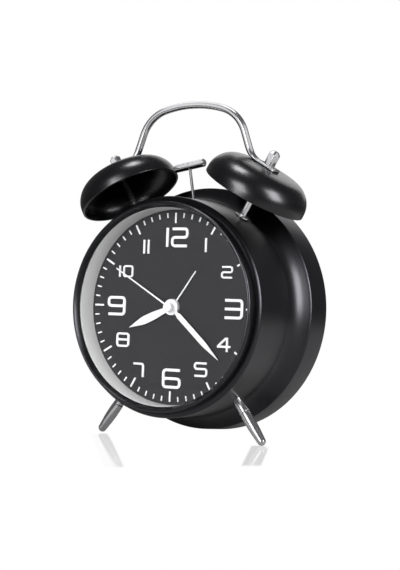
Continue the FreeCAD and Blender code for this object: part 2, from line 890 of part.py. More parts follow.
def hammer_armature():
    """The iron block that the coil pulls, on the side of the tail that faces it."""
    half = armature_size / 2
    side = -lever_width / 2
    middle = coil_height - pivot_height
    return swung(box(side - 1.2, side, -half * 0.6, half * 0.6, middle - half, middle + half))


def hammer_pivot_pin():
    """The headed pin that the lever turns on, set in the striker frame."""
    front = hammer_depth - lever_hub_length / 2 - running_gap
    head = disc(pin_head_r, front - 0.7, 0.7, 0, pivot_height)
    shank = disc(pin_r, front, frame_depth + frame_thickness - front, 0, pivot_height)
    return head.fuse(shank).removeSplitter()


def striker_frame():
    """The plate inside the drum that carries the hammer's pin and the coil."""
    flat = rounded_box(-frame_half_width, frame_half_width, frame_low, frame_high, 3.0, frame_depth, frame_thickness)
    boss_start = hammer_depth + lever_hub_length / 2 + running_gap
    flat = flat.fuse(disc(boss_r, boss_start, frame_depth - boss_start, 0, pivot_height))
    flat = flat.cut(disc(pin_r, boss_start - 1, frame_depth, 0, pivot_height))
    for side in (-1, 1):
        flat = flat.cut(disc(screw_r + 0.2, frame_depth - 1, 4, side * frame_screw_x, frame_screw_height))
    return flat.removeSplitter()


def striker_yoke():
    """The iron strap and core of the electromagnet."""
    strap = box(-coil_tail - 1.2, -coil_tail, hammer_depth - 3.5, frame_depth, coil_height - 3.5, coil_height + 3.5)
    core = Part.makeCylinder(core_r, coil_tail - core_tip, V(-coil_tail, hammer_depth, coil_height), V(1, 0, 0))
    return strap.fuse(core).removeSplitter()


def striker_coil():
    """The winding on its flanged bobbin, round the core."""
    length = coil_tail - core_tip - 1.4
    profile = [(core_r, 0), (coil_flange_r, 0), (coil_flange_r, 0.8), (coil_r, 0.8), (coil_r, length - 0.8),
               (coil_flange_r, length - 0.8), (coil_flange_r, length), (core_r, length)]
    body = face(profile, in_plane_rz).revolve(V(0, 0, 0), V(0, 0, 1), 360)
    body.rotate(V(0, 0, 0), V(0, 1, 0), 90)
    body.translate(V(-coil_tail, hammer_depth, coil_height))
    return body


def screw(depth, x, z, length, outward):
    """A round-headed slotted screw along Y; outward is the side its head is on."""
    head_start = depth if outward > 0 else depth - screw_head_height
    head = disc(screw_head_r, head_start, screw_head_height, x, z)
    shank_start = depth - length if outward > 0 else depth
    slot_start = depth + screw_head_height - 0.8 if outward > 0 else depth - screw_head_height
    slot = box(x - screw_head_r, x + screw_head_r, slot_start, slot_start + 0.8, z - 0.35, z + 0.35)
    return head.fuse(disc(screw_r, shank_start, length, x, z)).cut(slot).removeSplitter()


def striker_screws():
    """The two screws that hold the striker frame to the cover's bosses."""
    return Part.makeCompound([screw(frame_depth, side * frame_screw_x, frame_screw_height, 6.0, -1)
                              for side in (-1, 1)])


def cover_back():
    """Depth of the rear cover's outer face."""
    return cover_depth + cover_thickness


def cover_screws():
    """The screws round the rear cover."""
    one = screw(cover_back(), 0, cover_screw_ring, 4.5, 1)
    return Part.makeCompound([radial(one, angle) for angle in screw_places()])


def cover_r():
    """Outer radius of the rear cover, inside the rear band."""
    return band_r(cover_depth) - case_wall - cover_gap


def rear_cover():
    """The moulded back, with the battery bay, the striker's bosses and the openings for the controls."""
    back = cover_back()
    cover = turned_y([(0, cover_depth), (cover_r(), cover_depth), (cover_r(), back + cover_lip, 0.4),
                      (cover_r() - 1.6, back + cover_lip, 0.4), (cover_r() - 1.6 - cover_lip, back), (0, back)])
    z0 = bay_middle - bay_height / 2
    z1 = bay_middle + bay_height / 2
    bay = box(-bay_half_length - bay_wall, bay_half_length + bay_wall, cover_depth - bay_depth - bay_wall,
              cover_depth + 0.5, z0 - bay_wall, z1 + bay_wall)
    bosses = [disc(boss_r, frame_depth + frame_thickness, cover_depth - frame_depth - frame_thickness + 0.5,
                   side * frame_screw_x, frame_screw_height) for side in (-1, 1)]
    cover = cover.fuse([bay] + bosses)
    cuts = [
        box(-bay_half_length, bay_half_length, cover_depth - bay_depth, back + 1, z0, z1),
        rounded_box(-bay_half_length - door_margin, bay_half_length + door_margin, z0 - door_margin,
                    z1 + door_margin, 1.5, back - door_thickness, door_thickness + 1),
        box(-switch_slot_half(), switch_slot_half(), cover_depth - 1, back + 1, switch_middle - 1.3,
            switch_middle + 1.3),
    ]
    cuts += [disc(stem_arbor_r + 0.35, cover_depth - 1, cover_thickness + 3, x, 0)
             for x in (time_arbor_x, alarm_arbor_x)]
    cuts += [disc(screw_r, frame_depth, 8.0, side * frame_screw_x, frame_screw_height) for side in (-1, 1)]
    cuts += [radial(disc(screw_r + 0.2, cover_depth - 1, 6, 0, cover_screw_ring), angle)
             for angle in screw_places()]
    return cover.cut(cuts).removeSplitter()


def battery_door():
    """The door over the battery bay, with finger ribs."""
    back = cover_back()
    reach = door_margin - door_gap
    z0 = bay_middle - bay_height / 2 - reach
    z1 = bay_middle + bay_height / 2 + reach
    panel = rounded_box(-bay_half_length - reach, bay_half_length + reach, z0, z1, 1.3, back - door_thickness,
                        door_thickness)
    ribs = [box(-8, 8, back - 0.2, back + 0.6, z1 - 3.4 - 1.6 * i, z1 - 2.7 - 1.6 * i) for i in range(3)]
    return panel.fuse(ribs).removeSplitter()


def cell_depth():
    """Depth of the battery's middle line."""
    return cover_depth - bay_depth + 0.3 + cell_r


def battery_cell():
    """One round cell, its nub to the right."""
    left = -cell_length / 2 - cell_nub_length / 2
    body = Part.makeCylinder(cell_r, cell_length, V(left, cell_depth(), bay_middle), V(1, 0, 0))
    nub = Part.makeCylinder(cell_nub_r, cell_nub_length, V(left + cell_length, cell_depth(), bay_middle), V(1, 0, 0))
    return body.fuse(nub).removeSplitter()


def battery_contact_plus():
    """The plate and boss at the nub's end of the bay."""
    end = cell_length / 2 + cell_nub_length / 2
    flat = box(bay_half_length - 0.4, bay_half_length, cell_depth() - 5, cell_depth() + 5, bay_middle - 5,
               bay_middle + 5)
    boss = Part.makeCylinder(2.2, bay_half_length - 0.4 - end, V(end, cell_depth(), bay_middle), V(1, 0, 0))
    return flat.fuse(boss).removeSplitter()


def battery_contact_minus():
    """The bent leaf at the flat end of the cell."""
    end = -cell_length / 2 - cell_nub_length / 2
    low = cell_depth() - 6
    wall = -bay_half_length
    leaf = face(stroke([(wall + 0.2, low), (wall + 0.2, low + 12), (end - 0.25, low + 7)], 0.4, 0.5),
                lambda a, b: V(a, b, bay_middle - 3.5))
    return leaf.extrude(V(0, 0, 7))


def knob(x):
    """A fluted knob on the end of a setting stem."""
    start = cover_back() + knob_standoff
    body = turned_y([(0, start), (knob_r - 0.6, start), (knob_r, start + 0.6), (knob_r, start + knob_height, 1.2),
                     (0, start + knob_height)])
    flute = disc(knob_flute_r, start + 1.2, knob_height, 0, knob_r + 0.35)
    cuts = [radial(flute, 360.0 * i / knob_flutes) for i in range(knob_flutes)]
    body = body.cut(cuts + [disc(stem_arbor_r, start - 1, 4.6)]).removeSplitter()
    body.translate(V(x, 0, 0))
    return body


def stem_end():
    """Depth where a setting stem ends inside its knob."""
    return cover_back() + knob_standoff + 3.5


def switch_slot_half():
    """Half the length of the switch's slot in the cover."""
    return switch_travel / 2 + 1.5 + 0.4


def switch_body():
    """The fixed body of the alarm switch, behind the cover."""
    half = switch_body_length / 2
    tall = switch_body_height / 2
    body = box(-half, half, cover_depth - switch_body_depth, cover_depth, switch_middle - tall, switch_middle + tall)
    return body.cut(box(-switch_slot_half(), switch_slot_half(), cover_depth - 2.6, cover_depth + 1,
                        switch_middle - 1.3, switch_middle + 1.3))


def alarm_switch():
    """The sliding button that arms the alarm, at its off end."""
    back = cover_back()
    x = -switch_travel / 2
    shank = box(x - 1.5, x + 1.5, cover_depth - 2.4, back + 0.4, switch_middle - 1.1, switch_middle + 1.1)
    half = switch_button_length / 2
    tall = switch_button_height / 2
    button = box(x - half, x + half, back + 0.3, back + 0.3 + switch_button_thickness, switch_middle - tall,
                 switch_middle + tall)
    top = back + 0.3 + switch_button_thickness
    grooves = [box(x + step - 0.3, x + step + 0.3, top - 0.5, top + 1, switch_middle - tall - 1,
                   switch_middle + tall + 1) for step in (-1.6, 0, 1.6)]
    return shank.fuse(button).cut(grooves).removeSplitter()


def module_for(distance, teeth, mate_teeth):
    """The module that puts two meshing gears a given distance apart."""
    return 2 * distance / (teeth + mate_teeth)


def gear(teeth, module, tooth, depth, width, x, z, towards, gap=False):
    """A toothed disc; a tooth, or a gap, points at the angle towards its mate."""
    root_half, tip_half, addendum, dedendum = tooth
    pitch = 2 * math.pi / teeth
    first = math.radians(towards) + (pitch / 2 if gap else 0)
    root = teeth * module / 2 - dedendum * module
    tip = teeth * module / 2 + addendum * module
    points = []
    for i in range(teeth):
        middle = first + i * pitch
        for radius, half in ((root, -root_half), (tip, -tip_half), (tip, tip_half), (root, root_half)):
            turn = middle + half * pitch
            points.append((x + radius * math.cos(turn), z + radius * math.sin(turn)))
    return plate(points, depth, width)


def plate_back():
    """Depth of the back of the movement's front plate."""
    return dial_thickness + front_plate_thickness


def bridge_back():
    """Depth of the back of the movement's bridge."""
    return bridge_depth + bridge_thickness


def arbor(x, z, start, end, radius=train_arbor_r):
    """A train arbor with a thin pivot at each end."""
    body = disc(radius, start + 0.2, end - start - 0.4, x, z)
    return body.fuse(disc(pivot_r, start - bridge_thickness + 0.1, end - start + 2 * bridge_thickness - 0.2, x, z))


def rotor_place():
    """Where the rotor stands, seen from the front."""
    angle = math.radians(rotor_angle)
    return (rotor_reach * math.cos(angle), fifth_arbor_height + rotor_reach * math.sin(angle))


def cannon_pinion():
    """The minute hand's tube with the pinion that drives the motion work."""
    reach = abs(time_arbor_x)
    module = module_for(reach, cannon_teeth, minute_wheel_teeth)
    teeth = gear(cannon_teeth, module, pinion_tooth, minute_wheel_depth - 0.2, wheel_thickness + 0.4, 0, 0, 180)
    front = -minute_level - hand_thickness
    body = disc(cannon_r, front, bridge_back() + 1.1 - front).fuse(teeth)
    return body.cut(disc(second_arbor_r + running_gap, front - 1, 20)).removeSplitter()


def minute_wheel():
    """The intermediate wheel and pinion on the stem of the time-setting knob."""
    reach = abs(time_arbor_x)
    module = module_for(reach, cannon_teeth, minute_wheel_teeth)
    wheel = gear(minute_wheel_teeth, module, wheel_tooth, minute_wheel_depth, wheel_thickness, time_arbor_x, 0, 0,
                 True)
    slow = module_for(reach, minute_pinion_teeth, hour_wheel_teeth)
    pinion = gear(minute_pinion_teeth, slow, pinion_tooth, hour_wheel_depth - 0.1,
                  minute_wheel_depth - hour_wheel_depth + 0.2, time_arbor_x, 0, 0)
    start = plate_back() + 0.2
    stem = disc(stem_arbor_r, start, stem_end() - start, time_arbor_x, 0)
    return wheel.fuse([pinion, stem]).removeSplitter()


def hour_wheel():
    """The hour hand's tube and wheel."""
    module = module_for(abs(time_arbor_x), minute_pinion_teeth, hour_wheel_teeth)
    wheel = gear(hour_wheel_teeth, module, wheel_tooth, hour_wheel_depth, wheel_thickness, 0, 0, 180, True)
    front = -hour_level - hand_thickness
    body = disc(hour_tube_r, front, hour_wheel_depth + wheel_thickness + 0.3 - front).fuse(wheel)
    return body.cut(disc(cannon_r + running_gap, front - 1, 20)).removeSplitter()


def alarm_wheel():
    """The alarm hand's tube and wheel."""
    module = module_for(alarm_arbor_x, alarm_pinion_teeth, alarm_wheel_teeth)
    wheel = gear(alarm_wheel_teeth, module, wheel_tooth, alarm_wheel_depth, wheel_thickness, 0, 0, 0, True)
    front = -alarm_level - hand_thickness
    body = disc(alarm_tube_r, front, alarm_wheel_depth + wheel_thickness + 0.2 - front).fuse(wheel)
    return body.cut(disc(hour_tube_r + running_gap, front - 1, 20)).removeSplitter()


def alarm_set_wheel():
    """The pinion on the stem of the alarm-setting knob."""
    module = module_for(alarm_arbor_x, alarm_pinion_teeth, alarm_wheel_teeth)
    pinion = gear(alarm_pinion_teeth, module, pinion_tooth, alarm_wheel_depth - 0.1, wheel_thickness + 0.2,
                  alarm_arbor_x, 0, 180)
    start = plate_back() + 0.15
    return pinion.fuse(disc(stem_arbor_r, start, stem_end() - start, alarm_arbor_x, 0)).removeSplitter()


def centre_wheel():
    """The wheel that drives the cannon pinion through a light friction fit."""
    module = module_for(third_arbor_height, third_pinion_teeth, centre_wheel_teeth)
    wheel = gear(centre_wheel_teeth, module, wheel_tooth, centre_wheel_depth, wheel_thickness, 0, 0, 90, True)
    return wheel.cut(disc(cannon_r + running_gap, centre_wheel_depth - 1, 3))


def third_wheel():
    """The wheel between the second wheel and the centre wheel."""
    slow = module_for(third_arbor_height, third_pinion_teeth, centre_wheel_teeth)
    fast = module_for(third_arbor_height, second_pinion_teeth, third_wheel_teeth)
    pinion = gear(third_pinion_teeth, slow, pinion_tooth, centre_wheel_depth - 0.1, third_wheel_depth
                  - centre_wheel_depth + 0.1, 0, third_arbor_height, -90)
    wheel = gear(third_wheel_teeth, fast, wheel_tooth, third_wheel_depth, wheel_thickness - 0.1, 0,
                 third_arbor_height, -90, True)
    return arbor(0, third_arbor_height, bridge_back(), movement_back).fuse([pinion, wheel]).removeSplitter()


def second_wheel():
    """The second hand's arbor with its wheel and pinion."""
    fast = module_for(third_arbor_height, second_pinion_teeth, third_wheel_teeth)
    drive = module_for(abs(fifth_arbor_height), fifth_pinion_teeth, second_wheel_teeth)
    pinion = gear(second_pinion_teeth, fast, pinion_tooth, third_wheel_depth - 0.2, second_wheel_depth
                  - third_wheel_depth + 0.2, 0, 0, 90)
    wheel = gear(second_wheel_teeth, drive, wheel_tooth, second_wheel_depth, wheel_thickness - 0.1, 0, 0, -90, True)
    front = -second_level - hand_thickness
    stem = disc(second_arbor_r, front, movement_back + 0.7 - front)
    return stem.fuse([pinion, wheel]).removeSplitter()


def fifth_wheel():
    """The wheel between the rotor and the second wheel."""
    drive = module_for(abs(fifth_arbor_height), fifth_pinion_teeth, second_wheel_teeth)
    fine = module_for(rotor_reach, rotor_teeth, fifth_wheel_teeth)
    pinion = gear(fifth_pinion_teeth, drive, pinion_tooth, second_wheel_depth - 0.2, fifth_wheel_depth
                  - second_wheel_depth + 0.2, 0, fifth_arbor_height, 90)
    wheel = gear(fifth_wheel_teeth, fine, wheel_tooth, fifth_wheel_depth, wheel_thickness - 0.1, 0,
                 fifth_arbor_height, rotor_angle, True)
    return arbor(0, fifth_arbor_height, bridge_back(), movement_back).fuse([pinion, wheel]).removeSplitter()


def rotor():
    """The stepping motor's magnet and pinion."""
    x, z = rotor_place()
    fine = module_for(rotor_reach, rotor_teeth, fifth_wheel_teeth)
    pinion = gear(rotor_teeth, fine, pinion_tooth, fifth_wheel_depth - 0.2, wheel_thickness + 0.3, x, z,
                  rotor_angle + 180)
    magnet = disc(rotor_r, rotor_depth, rotor_length, x, z)
    return arbor(x, z, bridge_back(), movement_back).fuse([pinion, magnet]).removeSplitter()


def stator():
    """The iron loop that reaches from the coil round the rotor."""
    x, z = rotor_place()
    outer = box(stator_left, stator_right, stator_depth, stator_depth + stator_thickness, stator_low, stator_high)
    window = box(stator_left + stator_leg, stator_right - stator_leg, stator_depth - 1,
                 stator_depth + stator_thickness + 1, stator_low + stator_core, stator_high - stator_yoke)
    return outer.cut([window, disc(stator_hole_r, stator_depth - 1, 4, x, z)])


def coil():
    """The winding on the stator's lower bar."""
    x0 = stator_left + stator_leg + 0.8
    length = stator_right - stator_left - 2 * stator_leg - 1.6
    y = stator_depth + stator_thickness / 2
    z = stator_low + stator_core / 2
    body = Part.makeCylinder(winding_r, length, V(x0, y, z), V(1, 0, 0))
    return body.cut(box(x0 - 1, x0 + length + 1, stator_depth, stator_depth + stator_thickness, stator_low,
                        stator_low + stator_core))


def movement_outline(inset):
    """The movement's outline, drawn in by inset."""
    return [(-movement_half_width + inset, movement_bottom + inset, movement_corner - inset),
            (movement_half_width - inset, movement_bottom + inset, movement_corner - inset),
            (movement_half_width - inset, movement_top - inset, movement_corner - inset),
            (-movement_half_width + inset, movement_top - inset, movement_corner - inset)]


def movement_front_plate():
    """The movement's front, with the threaded neck that passes through the dial."""
    flat = plate(movement_outline(0), dial_thickness, front_plate_thickness)
    neck = disc(neck_r, -neck_nut_height - 0.1, plate_back() + neck_nut_height + 0.1)
    holes = [disc(alarm_tube_r + running_gap, -5, 12)]
    return flat.fuse(neck).cut(holes).removeSplitter()


def movement_nut():
    """The thin nut on the neck, in front of the dial."""
    return tube(neck_nut_r, neck_r + running_gap, -neck_nut_height, neck_nut_height)


def bearing_places():
    """Where train arbors have their pivots."""
    return [(0, third_arbor_height), (0, fifth_arbor_height), rotor_place()]


def movement_bridge():
    """The inner plate between the motion work and the train, with the stator's two bosses."""
    flat = plate(movement_outline(movement_wall + 0.1), bridge_depth, bridge_thickness)
    leg = stator_leg / 2
    bosses = [disc(1.4, bridge_depth, stator_depth - bridge_depth, x, stator_high - 2.4)
              for x in (stator_left + leg, stator_right - leg)]
    holes = [disc(pivot_r + running_gap, bridge_depth - 1, 4, x, z) for x, z in bearing_places()]
    holes += [disc(stem_arbor_r + running_gap, bridge_depth - 1, 4, x, 0) for x in (time_arbor_x, alarm_arbor_x)]
    holes.append(disc(cannon_r + running_gap, bridge_depth - 1, 4))
    return flat.fuse(bosses).cut(holes).removeSplitter()


def movement_case():
    """The deep rear half of the movement, with the pillars that press on the bridge."""
    shell = plate(movement_outline(0), plate_back(), movement_back + movement_wall - plate_back())
    shell = shell.cut(plate(movement_outline(movement_wall), plate_back() - 1, movement_back - plate_back() + 1))
    x = movement_half_width - movement_wall - 2.2
    pillars = [disc(1.8, bridge_back(), movement_back - bridge_back() + 0.5, side * x, z) for side in (-1, 1)
               for z in (movement_bottom + movement_wall + 2.2, movement_top - movement_wall - 2.2)]
    holes = [disc(pivot_r + running_gap, movement_back - 1, 4, a, b) for a, b in bearing_places()]
    holes += [disc(stem_arbor_r + running_gap, movement_back - 1, 4, a, 0) for a in (time_arbor_x, alarm_arbor_x)]
    holes.append(disc(second_arbor_r + running_gap, movement_back - 1, 4))
    return shell.fuse(pillars).cut(holes).removeSplitter()


def circuit_board():
    """The board with its sealed chip."""
    x1 = stator_left - 0.6
    board = box(-22.2, x1, bridge_back(), bridge_back() + 1.0, -24.2, -11.0)
    chip = disc(3.0, bridge_back() + 1.0, 0.8, -16.0, -16.5)
    return board.fuse(chip).removeSplitter()


def quartz_crystal():
    """The crystal's small can, lying on the board."""
    return Part.makeCylinder(1.0, 6.0, V(-19.5, bridge_back() + 2.0, -22.5), V(1, 0, 0))


def leaned(shape):
    """Lean a piece back with the clock and set it on the standing surface."""
    out = shape.copy()
    out.rotate(V(0, 0, 0), V(1, 0, 0), -lean_deg)
    out.translate(V(0, -depth_middle(), ground_drop()))
    return out


def depth_middle():
    """Half way between the foremost point of the bezel and the rearmost of the rim."""
    lean = math.radians(lean_deg)
    front = ((-front_depth + bezel_round) * math.cos(lean) - (bezel_r - bezel_round) * math.sin(lean)
             - bezel_round)
    back = ((case_depth - case_edge_round) * math.cos(lean) + (rim_r - case_edge_round) * math.sin(lean)
            + case_edge_round)
    return (front + back) / 2


pieces = {
    "housing": housing,
    "front_bezel": front_bezel,
    "lens": lens,
    "dial_spacer_ring": dial_spacer_ring,
    "dial_plate": dial_plate,
    "dial_numerals": dial_numerals,
    "minute_marks": minute_marks,
    "hour_hand": hour_hand,
    "minute_hand": minute_hand,
    "second_hand": second_hand,
    "alarm_hand": alarm_hand,
    "bell_left": lambda: on_bell_axis(bell(), -1),
    "bell_right": lambda: on_bell_axis(bell(), 1),
    "bell_post_left": lambda: on_bell_axis(bell_post(), -1),
    "bell_post_right": lambda: on_bell_axis(bell_post(), 1),
    "post_nuts": post_nuts,
    "cap_nuts": cap_nuts,
    "handle": handle,
    "foot_left": lambda: radial(foot(), 180 + foot_angle, foot_depth),
    "foot_right": lambda: radial(foot(), 180 - foot_angle, foot_depth),
    "foot_nuts": foot_nuts,
    "hammer_head": hammer_head,
    "hammer_stem": hammer_stem,
    "hammer_lever": hammer_lever,
    "hammer_armature": hammer_armature,
    "hammer_pivot_pin": hammer_pivot_pin,
    "striker_frame": striker_frame,
    "striker_yoke": striker_yoke,
    "striker_coil": striker_coil,
    "striker_screws": striker_screws,
    "rear_cover": rear_cover,
    "cover_screws": cover_screws,
    "battery_door": battery_door,
    "battery_cell": battery_cell,
    "battery_contact_plus": battery_contact_plus,
    "battery_contact_minus": battery_contact_minus,
    "time_set_knob": lambda: knob(time_arbor_x),
    "alarm_set_knob": lambda: knob(alarm_arbor_x),
    "switch_body": switch_body,
    "alarm_switch": alarm_switch,
    "movement_front_plate": movement_front_plate,
    "movement_nut": movement_nut,
    "movement_bridge": movement_bridge,
    "movement_case": movement_case,
    "cannon_pinion": cannon_pinion,
    "minute_wheel": minute_wheel,
    "hour_wheel": hour_wheel,
    "alarm_wheel": alarm_wheel,
    "alarm_set_wheel": alarm_set_wheel,
    "centre_wheel": centre_wheel,
    "third_wheel": third_wheel,
    "second_wheel": second_wheel,
    "fifth_wheel": fifth_wheel,
    "rotor": rotor,
    "stator": stator,
    "coil": coil,
    "circuit_board": circuit_board,
    "quartz_crystal": quartz_crystal,
}

os.makedirs("parts", exist_ok=True)
for name, make in pieces.items():
    piece = leaned(make())
    piece.exportStep("parts/" + name + ".step")
    print(name, len(piece.Solids), round(piece.Volume, 2), piece.isValid())
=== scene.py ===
"""A twin-bell alarm clock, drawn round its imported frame.

Every piece is drawn upright in millimetres round the middle of the dial's front face: X to the right of
someone reading the dial, Y from the dial to the back, Z towards twelve o'clock. Stance then leans it back and
stands it on the floor, in metres.
"""

from __future__ import annotations

import json
import logging
import math
from dataclasses import dataclass, field
from enum import Enum
from typing import Callable, Iterable, Mapping, Optional, Sequence

import bmesh
import bpy
from mathutils import Matrix, Vector


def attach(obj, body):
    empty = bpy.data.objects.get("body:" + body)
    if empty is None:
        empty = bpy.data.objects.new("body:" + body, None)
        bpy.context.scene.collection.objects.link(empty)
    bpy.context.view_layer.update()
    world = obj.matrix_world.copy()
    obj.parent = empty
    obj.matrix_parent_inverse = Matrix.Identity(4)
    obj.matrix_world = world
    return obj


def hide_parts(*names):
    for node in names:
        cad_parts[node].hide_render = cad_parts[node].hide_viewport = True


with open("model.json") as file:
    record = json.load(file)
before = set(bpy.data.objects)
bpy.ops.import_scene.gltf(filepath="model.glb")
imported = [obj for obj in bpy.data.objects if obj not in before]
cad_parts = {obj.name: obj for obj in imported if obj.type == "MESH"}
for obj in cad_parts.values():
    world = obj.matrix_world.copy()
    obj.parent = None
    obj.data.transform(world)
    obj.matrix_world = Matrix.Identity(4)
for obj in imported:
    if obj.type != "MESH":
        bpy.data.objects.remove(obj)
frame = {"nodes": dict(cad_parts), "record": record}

LOG = logging.getLogger("alarm_clock")
MM = 0.001
TINY = 1e-4
MERGE_GAP = 5e-4
LEVEL_GAP = 1e-3
MATCH_GAP = 2e-3
SHARP = math.radians(60.0)
FLAT = math.radians(1.0)
FINE_SHARE = 0.6
FINE_ROUGHNESS = 0.55
BROAD_SCALE = 55.0
BROAD_DETAIL = 3.0
LINE_STRETCH = 0.04

Corner = tuple[float, float, float]
Colour = tuple[float, float, float]


class Axis(Enum):
    """The line that a section is turned round."""

    DEPTH = "depth"
    HEIGHT = "height"


class Texture(Enum):
    """The fine structure that a finish shows close to."""

    PEEL = "peel"
    LINES = "lines"
    GRAIN = "grain"


@dataclass(frozen=True)
class Stance:
    """How the clock leans back on its feet and its rear rim."""

    lean: float = math.radians(5.0)
    drop: float = 62.354562
    depth_middle: float = 14.223428

    def matrix(self) -> Matrix:
        """The move from the upright drawing in millimetres to the standing clock in metres."""
        shift = Matrix.Translation((0.0, -self.depth_middle, self.drop))
        return Matrix.Scale(MM, 4) @ shift @ Matrix.Rotation(-self.lean, 4, "X")


STANCE = Stance()


def radial(angle: float, depth: float = 0.0) -> Matrix:
    """The move that stands a piece drawn along Z out of the drum.

    Args:
        angle: Degrees clockwise from twelve, seen from the front.
        depth: Distance behind the dial's face.

    Returns:
        The matrix, in millimetres.
    """
    return Matrix.Rotation(math.radians(angle), 4, "Y") @ Matrix.Translation((0.0, depth, 0.0))


def close_up(form: bmesh.types.BMesh) -> None:
    """Merge doubles and turn the faces outwards."""
    bmesh.ops.remove_doubles(form, verts=form.verts, dist=MERGE_GAP)
    bmesh.ops.recalc_face_normals(form, faces=form.faces)


def bevelled(form: bmesh.types.BMesh, chosen: Sequence[bmesh.types.BMVert | bmesh.types.BMEdge], width: float,
             segments: int, affect: str = "EDGES", clamp: bool = False) -> None:
    """Bevel some edges or corners of a form.

    Args:
        form: The form.
        chosen: Its edges or corners.
        width: How far the bevel reaches from them.
        segments: Faces across the bevel.
        affect: EDGES or VERTICES.
        clamp: Whether neighbouring bevels stop where they meet.
    """
    bmesh.ops.bevel(form, geom=chosen, offset=width, offset_type="OFFSET", affect=affect, segments=segments,
                    profile=0.5, clamp_overlap=clamp, material=-1)


def grown_verts(form: bmesh.types.BMesh) -> list[bmesh.types.BMVert]:
    """Extrude every face of a form, and return the new corners."""
    grown = bmesh.ops.extrude_face_region(form, geom=list(form.faces))
    return [g for g in grown["geom"] if isinstance(g, bmesh.types.BMVert)]


def rod(radius: float, start: float, end: float, first: float = 0.0, last: float = 0.0) -> list[Corner]:
    """The section of a solid cylinder, with the roundings of its two rims."""
    return [(0.0, start, 0.0), (radius, start, first), (radius, end, last), (0.0, end, 0.0)]


def oblong(half: float, low: float, high: float, rounding: float) -> list[Corner]:
    """The outline of a rectangle across the middle, with rounded corners."""
    return [(-half, low, rounding), (half, low, rounding), (half, high, rounding), (-half, high, rounding)]


def tangent_length(before: Vector, here: Vector, after: Vector, radius: float) -> tuple[float, float]:
    """How far from a corner its rounding starts, and the angle that the path turns there."""
    inner = (before - here).angle(after - here)
    return radius / math.tan(inner / 2), math.pi - inner


def arc_segments(turn: float, step: float = math.radians(7.0)) -> int:
    """Segments that make a rounding of this turn look smooth."""
    return max(2, math.ceil(turn / step))


def turned(corners: Sequence[Corner], axis: Axis = Axis.DEPTH, steps: int = 144) -> bmesh.types.BMesh:
    """Turn a section into a solid and round its rings.

    Args:
        corners: The closed section as (radius, along, rounding).
        axis: The line it is turned round.
        steps: Faces round the full turn.

    Returns:
        The closed form.
    """
    form = bmesh.new()
    deep = axis is Axis.DEPTH
    verts = [form.verts.new((r, a, 0.0) if deep else (r, 0.0, a)) for r, a, _ in corners]
    edges = [form.edges.new((verts[i - 1], verts[i])) for i in range(len(verts))
             if corners[i - 1][0] > TINY or corners[i][0] > TINY]
    bmesh.ops.spin(form, geom=verts + edges, cent=(0, 0, 0), axis=(0, 1, 0) if deep else (0, 0, 1),
                   angle=math.tau, steps=steps, use_merge=True)
    close_up(form)
    for i, (radius, along, rounding) in enumerate(corners):
        if rounding <= 0:
            continue
        here = Vector((radius, along))
        before = Vector(corners[i - 1][:2])
        after = Vector(corners[(i + 1) % len(corners)][:2])
        offset, turn = tangent_length(before, here, after, rounding)
        round_ring(form, here, offset, arc_segments(turn), deep)
    bmesh.ops.recalc_face_normals(form, faces=form.faces)
    return form


def round_ring(form: bmesh.types.BMesh, ring: Vector, offset: float, segments: int, deep: bool) -> None:
    """Bevel the ring of edges at one radius and one place along the axis.

    Args:
        form: The turned form.
        ring: The ring's radius and its place along the axis.
        offset: How far the rounding reaches from the ring.
        segments: Faces across the rounding.
        deep: True where the form was turned round the depth axis.
    """
    def on_ring(vert: bmesh.types.BMVert) -> bool:
        """Whether a vertex is on the ring."""
        along, across = (vert.co.y, vert.co.z) if deep else (vert.co.z, vert.co.y)
        return abs(along - ring.y) < MATCH_GAP and abs(math.hypot(vert.co.x, across) - ring.x) < MATCH_GAP

    bevelled(form, [e for e in form.edges if all(on_ring(v) for v in e.verts)], offset, segments)


def plate(outline: Sequence[Corner], depth: float, thickness: float) -> bmesh.types.BMesh:
    """An outline seen from the front, with rounded corners, thickened towards the back.

    Args:
        outline: Corners as (across, up, rounding).
        depth: Depth of the front face.
        thickness: Thickness towards the back.

    Returns:
        The closed form.
    """
    form = bmesh.new()
    verts = [form.verts.new((a, depth, b)) for a, b, _ in outline]
    form.faces.new(verts)
    places = [Vector(c[:2]) for c in outline]
    for i, (_, _, rounding) in enumerate(outline):
        if rounding > 0:
            offset, turn = tangent_length(places[i - 1], places[i], places[(i + 1) % len(places)], rounding)
            bevelled(form, [verts[i]], offset, arc_segments(turn), "VERTICES")
    bmesh.ops.translate(form, verts=grown_verts(form), vec=(0.0, thickness, 0.0))
    close_up(form)
    return form


def inset_path(points: Sequence[tuple[float, float]], inset: float) -> list[tuple[float, float]]:
    """An open path moved sideways, to its left where inset is positive.

    Args:
        points: The path's corners.
        inset: How far it moves.

    Returns:
        The moved corners.
    """
    path = [Vector(p) for p in points]
    out = []
    for i, here in enumerate(path):
        runs = [path[j + 1] - path[j] for j in (i - 1, i) if 0 <= j < len(path) - 1]
        normals = [Vector((-run.y, run.x)).normalized() for run in runs]
        middle = sum(normals, Vector((0.0, 0.0))).normalized()
        out.append(tuple(here + middle * (inset / middle.dot(normals[0]))))
    return out


def soften(form: bmesh.types.BMesh, width: float, least: float = math.radians(35.0)) -> None:
    """Bevel every sharp edge.

    Args:
        form: The closed form.
        width: How wide the bevel is.
        least: The smallest angle between two faces that counts as sharp.
    """
    soften_at(form, lambda e: e.calc_face_angle() > least, width)
    bmesh.ops.remove_doubles(form, verts=form.verts, dist=TINY)


def soften_at(form: bmesh.types.BMesh, test: Callable[[bmesh.types.BMEdge], bool], width: float,
              segments: int = 2) -> None:
    """Bevel the edges that pass a test.

    Args:
        form: The closed form.
        test: Says of an edge between two faces whether it is bevelled.
        width: How wide the bevel is.
        segments: Faces across the bevel.
    """
    chosen = [e for e in form.edges if len(e.link_faces) == 2 and test(e)]
    bevelled(form, chosen, width, segments, clamp=True)


